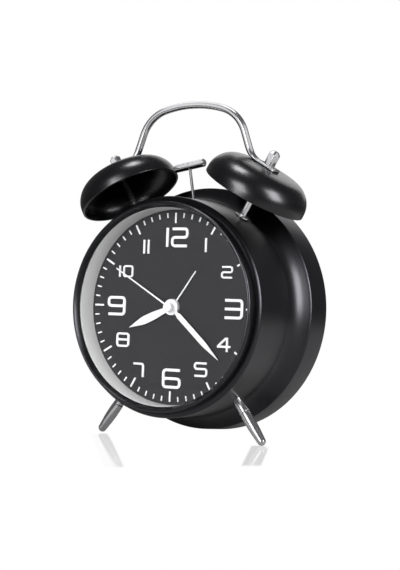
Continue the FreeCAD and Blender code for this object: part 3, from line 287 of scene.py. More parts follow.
def block(low: Sequence[float], high: Sequence[float]) -> bmesh.types.BMesh:
    """A block between two corners, ready for bevels and cuts.

    Args:
        low: The lowest corner.
        high: The highest corner.

    Returns:
        The closed form.
    """
    form = bmesh.new()
    size = Vector(high) - Vector(low)
    middle = (Vector(high) + Vector(low)) / 2
    bmesh.ops.create_cube(form, size=1.0, matrix=Matrix.Translation(middle) @ Matrix.Diagonal((*size, 1.0)))
    return form


def joined(forms: Iterable[bmesh.types.BMesh]) -> bmesh.types.BMesh:
    """Several forms as one mesh.

    Args:
        forms: The forms; they are freed.

    Returns:
        The one form.
    """
    whole = bmesh.new()
    for form in forms:
        mesh = bpy.data.meshes.new("part")
        form.to_mesh(mesh)
        form.free()
        whole.from_mesh(mesh)
        bpy.data.meshes.remove(mesh)
    return whole


def moved(form: bmesh.types.BMesh, matrix: Matrix) -> bmesh.types.BMesh:
    """A form after a move, its faces still outwards.

    Args:
        form: The form, changed in place.
        matrix: The move.

    Returns:
        The same form.
    """
    bmesh.ops.transform(form, matrix=matrix, verts=form.verts)
    if matrix.determinant() < 0:
        bmesh.ops.reverse_faces(form, faces=form.faces)
    return form


def carved(form: bmesh.types.BMesh, cutters: Iterable[bmesh.types.BMesh],
           operation: str = "DIFFERENCE") -> bmesh.types.BMesh:
    """A form with other forms cut out of it, or cut down to them.

    Args:
        form: The closed form.
        cutters: Closed forms, each used in turn.
        operation: What each of them does.

    Returns:
        The carved form.
    """
    for cutter in cutters:
        target = mesh_object("carve_target", form)
        tool = mesh_object("carve_tool", cutter)
        cut = target.modifiers.new("cut", "BOOLEAN")
        cut.operation = operation
        cut.solver = "EXACT"
        cut.object = tool
        bpy.context.view_layer.update()
        result = bpy.data.meshes.new_from_object(target.evaluated_get(bpy.context.evaluated_depsgraph_get()))
        form = bmesh.new()
        form.from_mesh(result)
        bpy.data.meshes.remove(result)
        for used in (target, tool):
            data = used.data
            bpy.data.objects.remove(used)
            bpy.data.meshes.remove(data)
    return form


def in_scene(name: str, data: bpy.types.ID) -> bpy.types.Object:
    """Put a mesh, a light or a camera into the scene as an object.

    Args:
        name: The object's name.
        data: What it holds.

    Returns:
        The object.
    """
    made = bpy.data.objects.new(name, data)
    bpy.context.scene.collection.objects.link(made)
    return made


def mesh_object(name: str, form: bmesh.types.BMesh) -> bpy.types.Object:
    """Put a form into the scene as an object.

    Args:
        name: The object's name.
        form: The form; it is freed.

    Returns:
        The object.
    """
    mesh = bpy.data.meshes.new(name)
    form.to_mesh(mesh)
    form.free()
    return in_scene(name, mesh)


def node_copy(name: str) -> bmesh.types.BMesh:
    """A merged copy of a CAD node, upright and in millimetres, with its flat faces whole again.

    Args:
        name: The node's name.

    Returns:
        The closed form.
    """
    form = bmesh.new()
    form.from_mesh(frame["nodes"][name].data)
    bmesh.ops.transform(form, matrix=STANCE.matrix().inverted(), verts=form.verts)
    bmesh.ops.remove_doubles(form, verts=form.verts, dist=LEVEL_GAP)
    bmesh.ops.dissolve_limit(form, angle_limit=FLAT, verts=form.verts, edges=form.edges)
    bmesh.ops.recalc_face_normals(form, faces=form.faces)
    return form


def place(form: bmesh.types.BMesh, name: str, body: str, finish: Finish, replaces: Sequence[str],
          crease: float = 32.0) -> None:
    """Stand a finished form on the floor as a piece of the clock.

    Args:
        form: The form, upright and in millimetres; it is freed.
        name: The piece's name.
        body: The body it moves with.
        finish: What it is made of.
        replaces: The CAD nodes it stands for.
        crease: Edges sharper than this many degrees stay sharp.
    """
    bmesh.ops.transform(form, matrix=STANCE.matrix(), verts=form.verts)
    limit = math.radians(crease)
    for edge in form.edges:
        edge.smooth = len(edge.link_faces) == 2 and edge.calc_face_angle() < limit
    for polygon in form.faces:
        polygon.smooth = True
    made = mesh_object(name, form)
    made.data.materials.append(finish.material())
    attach(made, body)
    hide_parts(*replaces)
    LOG.info("%s: %d faces on %s", name, len(made.data.polygons), body)


class NodeTree:
    """A small hand for building shader nodes."""

    def __init__(self, tree: bpy.types.NodeTree) -> None:
        """Hold the tree."""
        self.tree = tree

    def add(self, kind: str, sockets: Optional[Mapping[str | int, object]] = None,
            **settings: object) -> bpy.types.Node:
        """A new node.

        Args:
            kind: The node's type.
            sockets: For an input's name or number, its value or the output that feeds it.
            **settings: The node's own settings.

        Returns:
            The node.
        """
        node = self.tree.nodes.new(kind)
        for key, value in settings.items():
            setattr(node, key, value)
        for key, value in (sockets or {}).items():
            if isinstance(value, bpy.types.NodeSocket):
                self.tree.links.new(value, node.inputs[key])
            else:
                node.inputs[key].default_value = value
        return node

    def calc(self, operation: str, first: object, second: object = 0.0) -> bpy.types.NodeSocket:
        """A math node's output; each input is an output or a number."""
        return self.add("ShaderNodeMath", {0: first, 1: second}, operation=operation).outputs[0]

    def ramp(self, source: bpy.types.NodeSocket, ends: tuple[float, float], first: float,
             last: float) -> bpy.types.NodeSocket:
        """A value that changes smoothly while another goes from one end to the other.

        Args:
            source: The other value.
            ends: Where the change begins and where it ends.
            first: The value before it.
            last: The value after it.

        Returns:
            The node's output.
        """
        sockets = {"Value": source, "From Min": ends[0], "From Max": ends[1], "To Min": first, "To Max": last}
        return self.add("ShaderNodeMapRange", sockets, interpolation_type="SMOOTHSTEP").outputs["Result"]

    def blend(self, factor: bpy.types.NodeSocket, first: bpy.types.Node,
              second: bpy.types.Node) -> bpy.types.Node:
        """Two shader nodes mixed by a factor."""
        return self.add("ShaderNodeMixShader", {"Fac": factor, 1: first.outputs[0], 2: second.outputs[0]})


def new_material(name: str, fill: Callable[[NodeTree], bpy.types.Node]) -> bpy.types.Material:
    """A material.

    Args:
        name: Its name.
        fill: Builds its nodes and returns the last shader.

    Returns:
        The material.
    """
    made = bpy.data.materials.new(name)
    made.use_nodes = True
    made.node_tree.nodes.clear()
    hand = NodeTree(made.node_tree)
    hand.add("ShaderNodeOutputMaterial", {"Surface": fill(hand).outputs[0]})
    return made


def texture_group(kind: Texture) -> bpy.types.NodeTree:
    """The node group of a fine structure, built once.

    Its inputs are Scale, in repeats per metre, Tone, how much the colour's value changes, Roughness, and
    Spread, how much the roughness changes. It puts out Value, round 1, Roughness, and Height, from 0 to 1.

    Args:
        kind: Which structure.

    Returns:
        The group.
    """
    name = "surface_" + kind.value
    if name in bpy.data.node_groups:
        return bpy.data.node_groups[name]
    group = bpy.data.node_groups.new(name, "ShaderNodeTree")
    for socket, default in (("Scale", 1000.0), ("Tone", 0.05), ("Roughness", 0.4), ("Spread", 0.05)):
        made = group.interface.new_socket(socket, in_out="INPUT", socket_type="NodeSocketFloat")
        made.default_value = default
    for socket in ("Value", "Roughness", "Height"):
        group.interface.new_socket(socket, in_out="OUTPUT", socket_type="NodeSocketFloat")
    hand = NodeTree(group)
    given = hand.add("NodeGroupInput").outputs
    surface = hand.add("ShaderNodeTexCoord").outputs["Object"]
    stretch = (1.0, LINE_STRETCH, 1.0) if kind is Texture.LINES else (1.0, 1.0, 1.0)
    drawn = hand.add("ShaderNodeMapping", {"Vector": surface, "Scale": stretch}).outputs["Vector"]
    detail = {Texture.PEEL: 2.0, Texture.LINES: 4.0, Texture.GRAIN: 5.0}[kind]
    fine = hand.add("ShaderNodeTexNoise", {"Vector": drawn, "Scale": given["Scale"], "Detail": detail,
                                           "Roughness": FINE_ROUGHNESS}).outputs["Fac"]
    broad = hand.add("ShaderNodeTexNoise", {"Vector": surface, "Scale": BROAD_SCALE,
                                            "Detail": BROAD_DETAIL}).outputs["Fac"]
    both = hand.calc("ADD", hand.calc("MULTIPLY", fine, FINE_SHARE),
                     hand.calc("MULTIPLY", broad, 1.0 - FINE_SHARE))
    centred = hand.calc("MULTIPLY", hand.calc("SUBTRACT", both, 0.5), 2.0)
    value = hand.calc("ADD", hand.calc("MULTIPLY", centred, given["Tone"]), 1.0)
    roughness = hand.calc("ADD", hand.calc("MULTIPLY", centred, given["Spread"]), given["Roughness"])
    hand.add("NodeGroupOutput", {"Value": value, "Roughness": roughness, "Height": fine})
    return group


@dataclass(frozen=True)
class Finish:
    """One finish of a material slot: its colour, its gloss and its fine structure, depth in metres."""

    name: str
    slot: str
    colour: Colour
    roughness: float
    texture: Texture = Texture.PEEL
    scale: float = 1500.0
    tone: float = 0.05
    spread: float = 0.04
    depth: float = 0.000004
    metallic: float = 0.0
    specular: float = 0.5
    gloss_tint: Colour = (1.0, 1.0, 1.0)

    def material(self) -> bpy.types.Material:
        """The Blender material, built once."""
        return bpy.data.materials.get(self.name) or new_material(self.name, self.shader)

    def shader(self, hand: NodeTree) -> bpy.types.Node:
        """The nodes of this finish.

        Args:
            hand: What builds them.

        Returns:
            The shader.
        """
        given = {"Scale": self.scale, "Tone": self.tone, "Roughness": self.roughness, "Spread": self.spread}
        structure = hand.add("ShaderNodeGroup", given, node_tree=texture_group(self.texture)).outputs
        tint = hand.add("ShaderNodeMix", {"Factor": 1.0, "A": (*self.colour, 1.0), "B": structure["Value"]},
                        data_type="RGBA", blend_type="MULTIPLY")
        bump = hand.add("ShaderNodeBump", {"Distance": self.depth, "Strength": 1.0,
                                           "Height": structure["Height"]})
        return hand.add("ShaderNodeBsdfPrincipled", {
            "Base Color": tint.outputs["Result"],
            "Roughness": structure["Roughness"],
            "Metallic": self.metallic,
            "Specular IOR Level": self.specular,
            "Specular Tint": (*self.gloss_tint, 1.0),
            "Normal": bump.outputs["Normal"],
        })


@dataclass(frozen=True)
class Glass(Finish):
    """Clear flat glass that bends what the camera sees through it, and lets all other light pass straight."""

    bending: float = 1.45

    def shader(self, hand: NodeTree) -> bpy.types.Node:
        """The nodes of the glass.

        Args:
            hand: What builds them.

        Returns:
            The shader.
        """
        path = hand.add("ShaderNodeLightPath").outputs
        passed = hand.calc("MAXIMUM", path["Is Reflection Ray"], path["Is Shadow Ray"])
        glass = hand.add("ShaderNodeBsdfPrincipled", {
            "Base Color": (*self.colour, 1.0),
            "Roughness": self.roughness,
            "Transmission Weight": 1.0,
            "IOR": self.bending,
            "Specular IOR Level": self.specular,
        })
        return hand.blend(passed, glass, hand.add("ShaderNodeBsdfTransparent"))


CASE_PAINT = Finish("satin_black", "case_paint", (0.0015, 0.0015, 0.0017), 0.30, Texture.PEEL, 2600.0, 0.10,
                    0.03, 0.0000015, gloss_tint=(0.92, 0.915, 1.0))
BELL_PAINT = Finish("bell_black", "case_paint", (0.0015, 0.0015, 0.0017), 0.27, Texture.PEEL, 2600.0, 0.10,
                    0.03, 0.0000015, gloss_tint=(0.96, 0.955, 1.0))
DIAL_PAINT = Finish("dial_black", "dial_face", (0.0256, 0.0252, 0.0272), 0.62, Texture.GRAIN, 5000.0, 0.22,
                    0.05, 0.000006, specular=0.2)
WHITE_TRIM = Finish("print_white", "white_trim", (0.90, 0.90, 0.91), 0.42, Texture.GRAIN, 3000.0, 0.02, 0.04,
                    0.000002)
RING_GREY = Finish("ring_silver", "ring_grey", (0.59, 0.59, 0.59), 0.45, Texture.GRAIN, 2500.0, 0.04, 0.05,
                   0.000003)
BRIGHT = Finish("satin_chrome", "bright_metal", (0.66, 0.66, 0.67), 0.20, Texture.LINES, 1800.0, 0.06, 0.04,
                0.000001, metallic=1.0)
# A darker copy of the satin chrome in the same slot: painted shade for the hammer's wire, which stands in
# shade between the bells.
SHADED_WIRE_CHROME = Finish("chrome_in_painted_shade", "bright_metal", (0.36, 0.36, 0.37), 0.34, Texture.LINES, 1500.0, 0.08, 0.05,
              0.000001, metallic=1.0)
STEEL = Finish("zinc_steel", "plain_steel", (0.48, 0.48, 0.49), 0.34, Texture.LINES, 1500.0, 0.10, 0.07,
               0.000003, metallic=1.0)
IRON = Finish("grey_iron", "soft_iron", (0.30, 0.30, 0.31), 0.46, Texture.GRAIN, 2000.0, 0.14, 0.07, 0.000004,
              metallic=1.0)
COPPER = Finish("lacquered_copper", "copper_winding", (0.62, 0.27, 0.12), 0.36, Texture.LINES, 5000.0, 0.15,
                0.06, 0.00002, metallic=1.0)
BACK_PLASTIC = Finish("grained_moulding", "back_plastic", (0.017, 0.017, 0.018), 0.52, Texture.GRAIN, 2600.0,
                      0.16, 0.06, 0.000018)
KNOB_PLASTIC = Finish("knob_moulding", "knob_plastic", (0.020, 0.020, 0.021), 0.40, Texture.GRAIN, 3600.0,
                      0.10, 0.05, 0.000008)
JACKET = Finish("cell_sleeve", "cell_jacket", (0.06, 0.06, 0.07), 0.30, Texture.PEEL, 900.0, 0.05, 0.04,
                0.000002)
MOVEMENT_PLASTIC = Finish("works_moulding", "movement_plastic", (0.02, 0.02, 0.022), 0.50, Texture.GRAIN,
                          2200.0, 0.12, 0.05, 0.00001)
WHEEL_PLASTIC = Finish("ivory_moulding", "wheel_plastic", (0.70, 0.68, 0.60), 0.38, Texture.PEEL, 1200.0,
                       0.04, 0.04, 0.000003)
BOARD = Finish("board_laminate", "board", (0.11, 0.06, 0.025), 0.42, Texture.GRAIN, 1400.0, 0.12, 0.05,
               0.000004)
CLEAR_GLASS = Glass("clear_glass", "front_glass", (1.0, 1.0, 1.0), 0.0)


@dataclass
class Case:
    """The pressed case and the ring that closes its front."""

    drum_r: float = 51.5
    front_round: float = 1.8
    mouth_r: float = 47.7
    mouth_round: float = 0.2
    rim_front_r: float = 58.2
    rim_r: float = 59.0
    front: float = -8.8
    back: float = 41.4
    wall: float = 0.8
    edge_round: float = 0.35
    flare_depth: float = 24.02
    flare_turn: float = math.radians(62.0)
    flare_round: float = 11.0
    crease_round: float = 1.2
    crease_inner_round: float = 0.4
    slot_depth: float = 16.6
    slot_half_length: float = 2.52
    slot_half_width: float = 1.2
    slot_margin: tuple[float, float] = (3.0, 2.0)
    ring_front: float = -13.8
    ring_r: float = 48.7
    ring_round: float = 1.0
    ring_heel: float = 0.25
    crest_r: float = 47.5
    crest_round: float = 0.4
    opening_r: float = 46.1
    opening_round: float = 0.08
    slope: float = 2.6
    lip: float = 2.9
    sleeve_r: float = 47.55
    sleeve_bore: float = 47.0
    sleeve_length: float = 5.0
    sleeve_round: float = 0.1

    def side(self, inset: float) -> list[tuple[float, float]]:
        """The path from the drum's front edge to the rear rim.

        Args:
            inset: How far it is drawn in.

        Returns:
            Its corners, as radius and depth.
        """
        crease = self.flare_depth + (self.rim_front_r - self.drum_r) / math.tan(self.flare_turn)
        corners = [(self.drum_r, self.front), (self.drum_r, self.flare_depth), (self.rim_front_r, crease),
                   (self.rim_r, self.back)]
        return inset_path(corners, inset)

    def shell(self) -> bmesh.types.BMesh:
        """The drum, flare and rear band as one sheet, turned in at the front.

        Returns:
            The closed form.
        """
        outer = self.side(0.0)
        inner = self.side(self.wall)
        inside = self.front + self.wall
        form = turned([
            (self.mouth_r, self.front, self.mouth_round),
            (self.drum_r, self.front, self.front_round),
            (*outer[1], self.flare_round),
            (*outer[2], self.crease_round),
            (*outer[3], self.edge_round),
            (inner[3][0], self.back, self.edge_round),
            (*inner[2], self.crease_inner_round),
            (*inner[1], self.flare_round + self.wall),
            (inner[0][0], inside, self.front_round - self.wall),
            (self.mouth_r, inside, self.mouth_round),
        ], steps=192)
        self.open_slot(form)
        return form

    def open_slot(self, form: bmesh.types.BMesh) -> None:
        """Open the hammer's slot in the top of the drum.

        Args:
            form: The case, changed in place.
        """
        aside, below = self.slot_margin
        near = self.drum_r - self.wall - below

        def over_slot(face: bmesh.types.BMFace, reach: float) -> bool:
            """Whether a face is over the slot's length or within a reach of it."""
            middle = face.calc_center_median()
            return middle.z > near and abs(middle.x) < self.slot_half_length + reach

        planes = (((1, 0, 0), self.slot_half_length), ((-1, 0, 0), self.slot_half_length),
                  ((0, 1, 0), self.slot_half_width + self.slot_depth),
                  ((0, -1, 0), self.slot_half_width - self.slot_depth))
        for way, distance in planes:
            normal = Vector(way)
            around = [f for f in form.faces if over_slot(f, aside)]
            parts = set(around) | {e for f in around for e in f.edges} | {v for f in around for v in f.verts}
            bmesh.ops.bisect_plane(form, geom=list(parts), dist=TINY, plane_co=normal * distance,
                                   plane_no=normal)
        inside = [f for f in form.faces if over_slot(f, 0.0)
                  and abs(f.calc_center_median().y - self.slot_depth) < self.slot_half_width]
        bmesh.ops.delete(form, geom=inside, context="FACES")
        bmesh.ops.bridge_loops(form, edges=[e for e in form.edges if e.is_boundary])
        bmesh.ops.recalc_face_normals(form, faces=form.faces)

    def front_ring(self) -> bmesh.types.BMesh:
        """The bezel: a crest, a slope down to the lens, and a sleeve that enters the drum.

        Returns:
            The closed form.
        """
        seat = self.ring_front + self.lip
        end = self.front + self.sleeve_length
        return turned([
            (self.ring_r, self.front, self.ring_heel),
            (self.ring_r, self.ring_front, self.ring_round),
            (self.crest_r, self.ring_front, self.crest_round),
            (self.opening_r, self.ring_front + self.slope, 0.0),
            (self.opening_r, seat, self.opening_round),
            (self.sleeve_bore, seat, 0.0),
            (self.sleeve_bore, end, self.sleeve_round),
            (self.sleeve_r, end, self.sleeve_round),
            (self.sleeve_r, self.front, 0.0),
        ], steps=224)

    def build(self) -> None:
        """Make and place both pieces."""
        place(self.shell(), "case_shell", "clock", CASE_PAINT, ["housing"])
        place(self.front_ring(), "front_ring", "clock", CASE_PAINT, ["front_bezel"])


@dataclass
class Front:
    """What lies behind the front ring: the glass, the grey ring, the dial and its print."""

    seat: float = -10.9
    glass_r: float = 46.5
    glass_thickness: float = 1.2
    glass_edge: float = 0.12
    ring_r: float = 46.95
    rebate_r: float = 46.55
    ring_front_r: float = 45.95
    ring_back_r: float = 45.3
    ring_front_round: float = 0.1
    ring_back_round: float = 0.15
    dial_r: float = 47.6
    dial_bore: float = 3.4
    dial_thickness: float = 0.8
    dial_round: float = 0.1
    bore_round: float = 0.08
    mark_height: float = 0.5
    mark_out_r: float = 43.9
    hour_mark: tuple[float, float] = (39.0, 0.85)
    minute_mark: tuple[float, float] = (41.6, 0.65)
    mark_count: int = 60
    mark_bevel: float = 0.09
    figure_bevel: float = 0.1
    figure_foot: float = 0.01

    def glass(self) -> bmesh.types.BMesh:
        """The flat lens with ground edges."""
        back = self.seat + self.glass_thickness
        return turned(rod(self.glass_r, self.seat, back, self.glass_edge, self.glass_edge))

    def grey_ring(self) -> bmesh.types.BMesh:
        """The spacer between the glass and the dial.

        Returns:
            The closed form.
        """
        floor = self.seat + self.glass_thickness
        return turned([
            (self.rebate_r, self.seat, 0.0),
            (self.ring_r, self.seat, 0.0),
            (self.ring_r, 0.0, 0.0),
            (self.ring_back_r, 0.0, self.ring_back_round),
            (self.ring_front_r, floor, self.ring_front_round),
            (self.rebate_r, floor, 0.0),
        ], steps=192)

    def dial(self) -> bmesh.types.BMesh:
        """The painted disc."""
        return turned([(self.dial_bore, 0.0, self.bore_round), (self.dial_r, 0.0, self.dial_round),
                       (self.dial_r, self.dial_thickness, 0.0), (self.dial_bore, self.dial_thickness, 0.0)])

    def marks(self) -> bmesh.types.BMesh:
        """Sixty raised bars with soft edges, every fifth one long.

        Returns:
            The bars as one form.
        """
        bars = []
        for i in range(self.mark_count):
            inner, width = self.hour_mark if i % 5 == 0 else self.minute_mark
            bar = block((-width / 2, -self.mark_height, inner), (width / 2, 0.0, self.mark_out_r))
            soften(bar, self.mark_bevel)
            bars.append(moved(bar, radial(i * 360.0 / self.mark_count)))
        return joined(bars)

    def numerals(self) -> bmesh.types.BMesh:
        """The twelve numerals, the edges of their fronts softened.

        Returns:
            The numerals as one form.
        """
        form = node_copy("dial_numerals")
        soften_at(form, lambda e: e.calc_face_angle() > SHARP
                  and all(v.co.y < -self.figure_foot for v in e.verts)
                  and abs(e.verts[0].co.y - e.verts[1].co.y) < LEVEL_GAP, self.figure_bevel)
        return form

    def build(self) -> None:
        """Make and place the pieces of the front."""
        place(self.glass(), "front_glass", "clock", CLEAR_GLASS, ["lens"])
        place(self.grey_ring(), "grey_ring", "clock", RING_GREY, ["dial_spacer_ring"])
        place(self.dial(), "dial_disc", "clock", DIAL_PAINT, ["dial_plate"])
        place(self.marks(), "dial_bars", "clock", WHITE_TRIM, ["minute_marks"])
        place(self.numerals(), "dial_figures", "clock", WHITE_TRIM, ["dial_numerals"])


@dataclass(frozen=True)
class Pointer:
    """One hand: degrees clockwise from twelve, its length and width, and how far its back is from the dial.

    A broad hand also has the width of its neck, and the places where its shoulder starts and ends and where
    its point starts.
    """

    angle: float
    length: float
    width: float
    level: float
    neck: float = 0.0
    shoulder: tuple[float, float] = (0.0, 0.0)
    taper: float = 0.0


@dataclass
class Hands:
    """The four hands and the cap of the second hand."""

    thickness: float = 0.35
    hub_r: float = 3.7
    hub_edge: float = 0.12
    bevel: float = 0.1
    hour: Pointer = Pointer(246.3, 25.4, 3.8, 1.25, 2.4, (3.6, 11.0), 17.0)
    minute: Pointer = Pointer(131.6, 35.2, 2.5, 2.0, 1.6, (4.6, 5.8), 25.0)
    second: Pointer = Pointer(300.3, 34.8, 0.75, 3.7)
    alarm: Pointer = Pointer(35.6, 20.8, 0.75, 0.6)
    blade_start: float = 2.0
    blade_rounds: tuple[float, float, float] = (0.5, 3.0, 9.0)
    blade_point: float = 0.08
    bar_start: float = 1.0
    bar_taper: float = 0.8
    cap_r: float = 2.15
    cap_height: float = 1.5
    cap_round: float = 0.35
    socket_r: float = 1.9
    socket_length: float = 1.1
    socket_round: float = 0.1

    def hand(self, outline: Sequence[Corner], pointer: Pointer, hub_r: float) -> bmesh.types.BMesh:
        """A pressed hand with its round hub.

        Args:
            outline: The pointer's outline, drawn towards twelve.
            pointer: The hand's sizes.
            hub_r: Radius of its hub.

        Returns:
            The form.
        """
        front = -pointer.level - self.thickness
        sheet = plate(outline, front, self.thickness)
        soften_at(sheet, lambda e: e.calc_face_angle() > SHARP
                  and all(v.co.y < front + LEVEL_GAP for v in e.verts), self.bevel)
        hub = turned(rod(hub_r, front, front + self.thickness, self.hub_edge), steps=64)
        return joined([moved(sheet, radial(pointer.angle)), hub])

    def blade(self, pointer: Pointer) -> list[Corner]:
        """The outline of a broad hand: a neck, a shoulder and a long point.

        Args:
            pointer: The hand's sizes.

        Returns:
            The outline's corners.
        """
        neck, half = pointer.neck / 2, pointer.width / 2
        start, end = pointer.shoulder
        heights = (self.blade_start, start, end, pointer.taper, pointer.length)
        right = list(zip((neck, neck, half, half, self.blade_point), heights, (0.0, *self.blade_rounds, 0.0)))
        return right + [(-a, b, r) for a, b, r in reversed(right)]

    def bar(self, pointer: Pointer) -> list[Corner]:
        """The outline of a thin hand.

        Args:
            pointer: The hand's sizes.

        Returns:
            The outline's corners.
        """
        half = pointer.width / 2
        end = half * self.bar_taper
        return [(-half, self.bar_start, 0.0), (half, self.bar_start, 0.0), (end, pointer.length, 0.0),
                (-end, pointer.length, 0.0)]

    def build(self) -> None:
        """Make and place the hands."""
        for name, pointer, outline in (("hour", self.hour, self.blade), ("minute", self.minute, self.blade),
                                       ("alarm", self.alarm, self.bar)):
            form = self.hand(outline(pointer), pointer, self.hub_r)
            place(form, "hand_" + name, name, WHITE_TRIM, [name + "_hand"])
        level = self.second.level
        cap = rod(self.cap_r, -level - self.thickness - self.cap_height, -level, self.cap_round)
        socket = rod(self.socket_r, -level, self.socket_length - level, 0.0, self.socket_round)
        form = joined([self.hand(self.bar(self.second), self.second, self.socket_r),
                       turned(cap, steps=48), turned(socket, steps=48)])
        place(form, "hand_second", "second", WHITE_TRIM, ["second_hand"])


@dataclass
class Bells:
    """The two bells, each on its post under a closed nut."""

    angle: float = 29.6
    aside: float = 3.46
    depth: float = 11.8
    rim_height: float = 63.6
    rim_r: float = 25.0
    rim_round: float = 0.4
    rim_inner_round: float = 0.3
    height: float = 13.7
    waist_r: float = 24.8
    waist_height: float = 11.15
    shoulder_r: float = 14.3
    shoulder_height: float = 13.3
    top_r: float = 9.0
    waist_round: float = 10.8
    shoulder_round: float = 4.5
    top_round: float = 2.0
    wall: float = 1.0
    post_r: float = 1.5
    thread_r: float = 1.2
    rod_round: float = 0.2
    drum_r: float = 51.5
    inner_end: float = 46.4
    flange_r: float = 3.6
    flange_thickness: float = 0.7
    flange_rounds: tuple[float, float] = (0.1, 0.2)
    collar_r: float = 3.0
    collar_height: float = 2.4
    collar_round: float = 0.25
    tab_thickness: float = 1.4
    nut_across: float = 5.2
    nut_height: float = 7.2
    nut_bevel: float = 0.22
    nut_chamfer: tuple[float, float] = (0.25, 0.5)
    nut_rounds: tuple[float, float, float] = (0.3, 1.5, 0.8)
    crown_r: float = 1.3
    crown_drop: float = 1.7
    thread_reach: float = 4.2
    bell_crease: float = 40.0

    def stand(self, sign: int) -> Matrix:
        """The move from a piece drawn along Z to the axis of the right (1) or the left (-1) bell."""
        return radial(sign * self.angle) @ Matrix.Translation((sign * self.aside, self.depth, 0.0))

    def bell(self) -> bmesh.types.BMesh:
        """One pressed bell, its rim down.

        Returns:
            The closed form.
        """
        low = self.rim_height
        top = low + self.height
        outer = [(self.rim_r, low), (self.waist_r, low + self.waist_height),
                 (self.shoulder_r, low + self.shoulder_height), (self.top_r, top), (0.0, top)]
        rounds = [self.rim_round, self.waist_round, self.shoulder_round, self.top_round, 0.0]
        inner = inset_path(outer, self.wall)
        inner[0] = (inner[0][0], low)
        inner[-1] = (0.0, top - self.wall)
        outside = [(*p, r) for p, r in zip(outer, rounds)]
        inside = [(*p, max(r - self.wall, self.rim_inner_round if r else 0.0)) for p, r in zip(inner, rounds)]
        return turned(outside + inside[::-1], Axis.HEIGHT, steps=160)

    def post(self) -> bmesh.types.BMesh:
        """The rod with its flange and its collar under the bell.

        Returns:
            The closed form.
        """
        under = self.rim_height + self.height - self.wall
        collar = under - self.collar_height
        end = self.rim_height + self.height + self.tab_thickness + self.thread_reach
        flange = self.drum_r + self.flange_thickness
        low_round, high_round = self.flange_rounds
        return turned([
            (0.0, self.inner_end, 0.0),
            (self.thread_r, self.inner_end, self.rod_round),
            (self.thread_r, self.drum_r, 0.0),
            (self.flange_r, self.drum_r, low_round),
            (self.flange_r, flange, high_round),
            (self.post_r, flange, 0.0),
            (self.post_r, collar, 0.0),
            (self.collar_r, collar, self.collar_round),
            (self.collar_r, under, 0.0),
            (self.post_r, under, 0.0),
            (self.post_r, end, self.rod_round),
            (0.0, end, 0.0),
        ], Axis.HEIGHT, steps=48)

    def cap_nut(self) -> bmesh.types.BMesh:
        """The closed nut: a long hexagon with a domed top.

        Returns:
            The closed form.
        """
        base = self.rim_height + self.height + self.tab_thickness
        top = base + self.nut_height
        corner = self.nut_across / math.sqrt(3)
        form = bmesh.new()
        lay = Matrix.Translation((0, 0, base)) @ Matrix.Rotation(math.radians(30), 4, "Z")
        bmesh.ops.create_circle(form, cap_ends=True, radius=corner, segments=6, matrix=lay)
        bmesh.ops.translate(form, verts=grown_verts(form), vec=(0, 0, self.nut_height))
        bmesh.ops.recalc_face_normals(form, faces=form.faces)
        soften_at(form, lambda e: abs(e.verts[0].co.z - e.verts[1].co.z) > self.nut_height / 2,
                  self.nut_bevel, 3)
        inset, rise = self.nut_chamfer
        foot_round, side_round, crown_round = self.nut_rounds
        dome = turned([
            (0.0, base, 0.0),
            (corner - inset, base, 0.0),
            (corner, base + rise, foot_round),
            (corner, top - self.crown_drop, side_round),
            (self.crown_r, top, crown_round),
            (0.0, top, 0.0),
        ], Axis.HEIGHT, steps=96)
        return carved(form, [dome], "INTERSECT")

    def build(self) -> None:
        """Make and place both bells with their posts and nuts."""
        nuts = []
        for side, sign in (("left", -1), ("right", 1)):
            stand = self.stand(sign)
            place(moved(self.bell(), stand), "bell_dome_" + side, "clock", BELL_PAINT, ["bell_" + side],
                  crease=self.bell_crease)
            place(moved(self.post(), stand), "post_" + side, "clock", BRIGHT, ["bell_post_" + side])
            nuts.append(moved(self.cap_nut(), stand))
        place(joined(nuts), "bell_nuts", "clock", BRIGHT, ["cap_nuts"])


@dataclass(frozen=True)
class Station:
    """One section of the handle: where it is, which way it runs and how large it is."""

    centre: Vector
    along: Vector
    half_width: float
    half_thickness: float

    def matrix(self) -> Matrix:
        """The move from a unit circle round Z to this section.

        Returns:
            The matrix, in millimetres.
        """
        forward = self.along.normalized()
        across = Vector((0.0, 1.0, 0.0))
        out = forward.cross(across).normalized()
        turn = Matrix((across, out, forward)).transposed().to_4x4()
        return Matrix.Translation(self.centre) @ turn @ Matrix.Diagonal(
            (self.half_width, self.half_thickness, 1.0, 1.0))


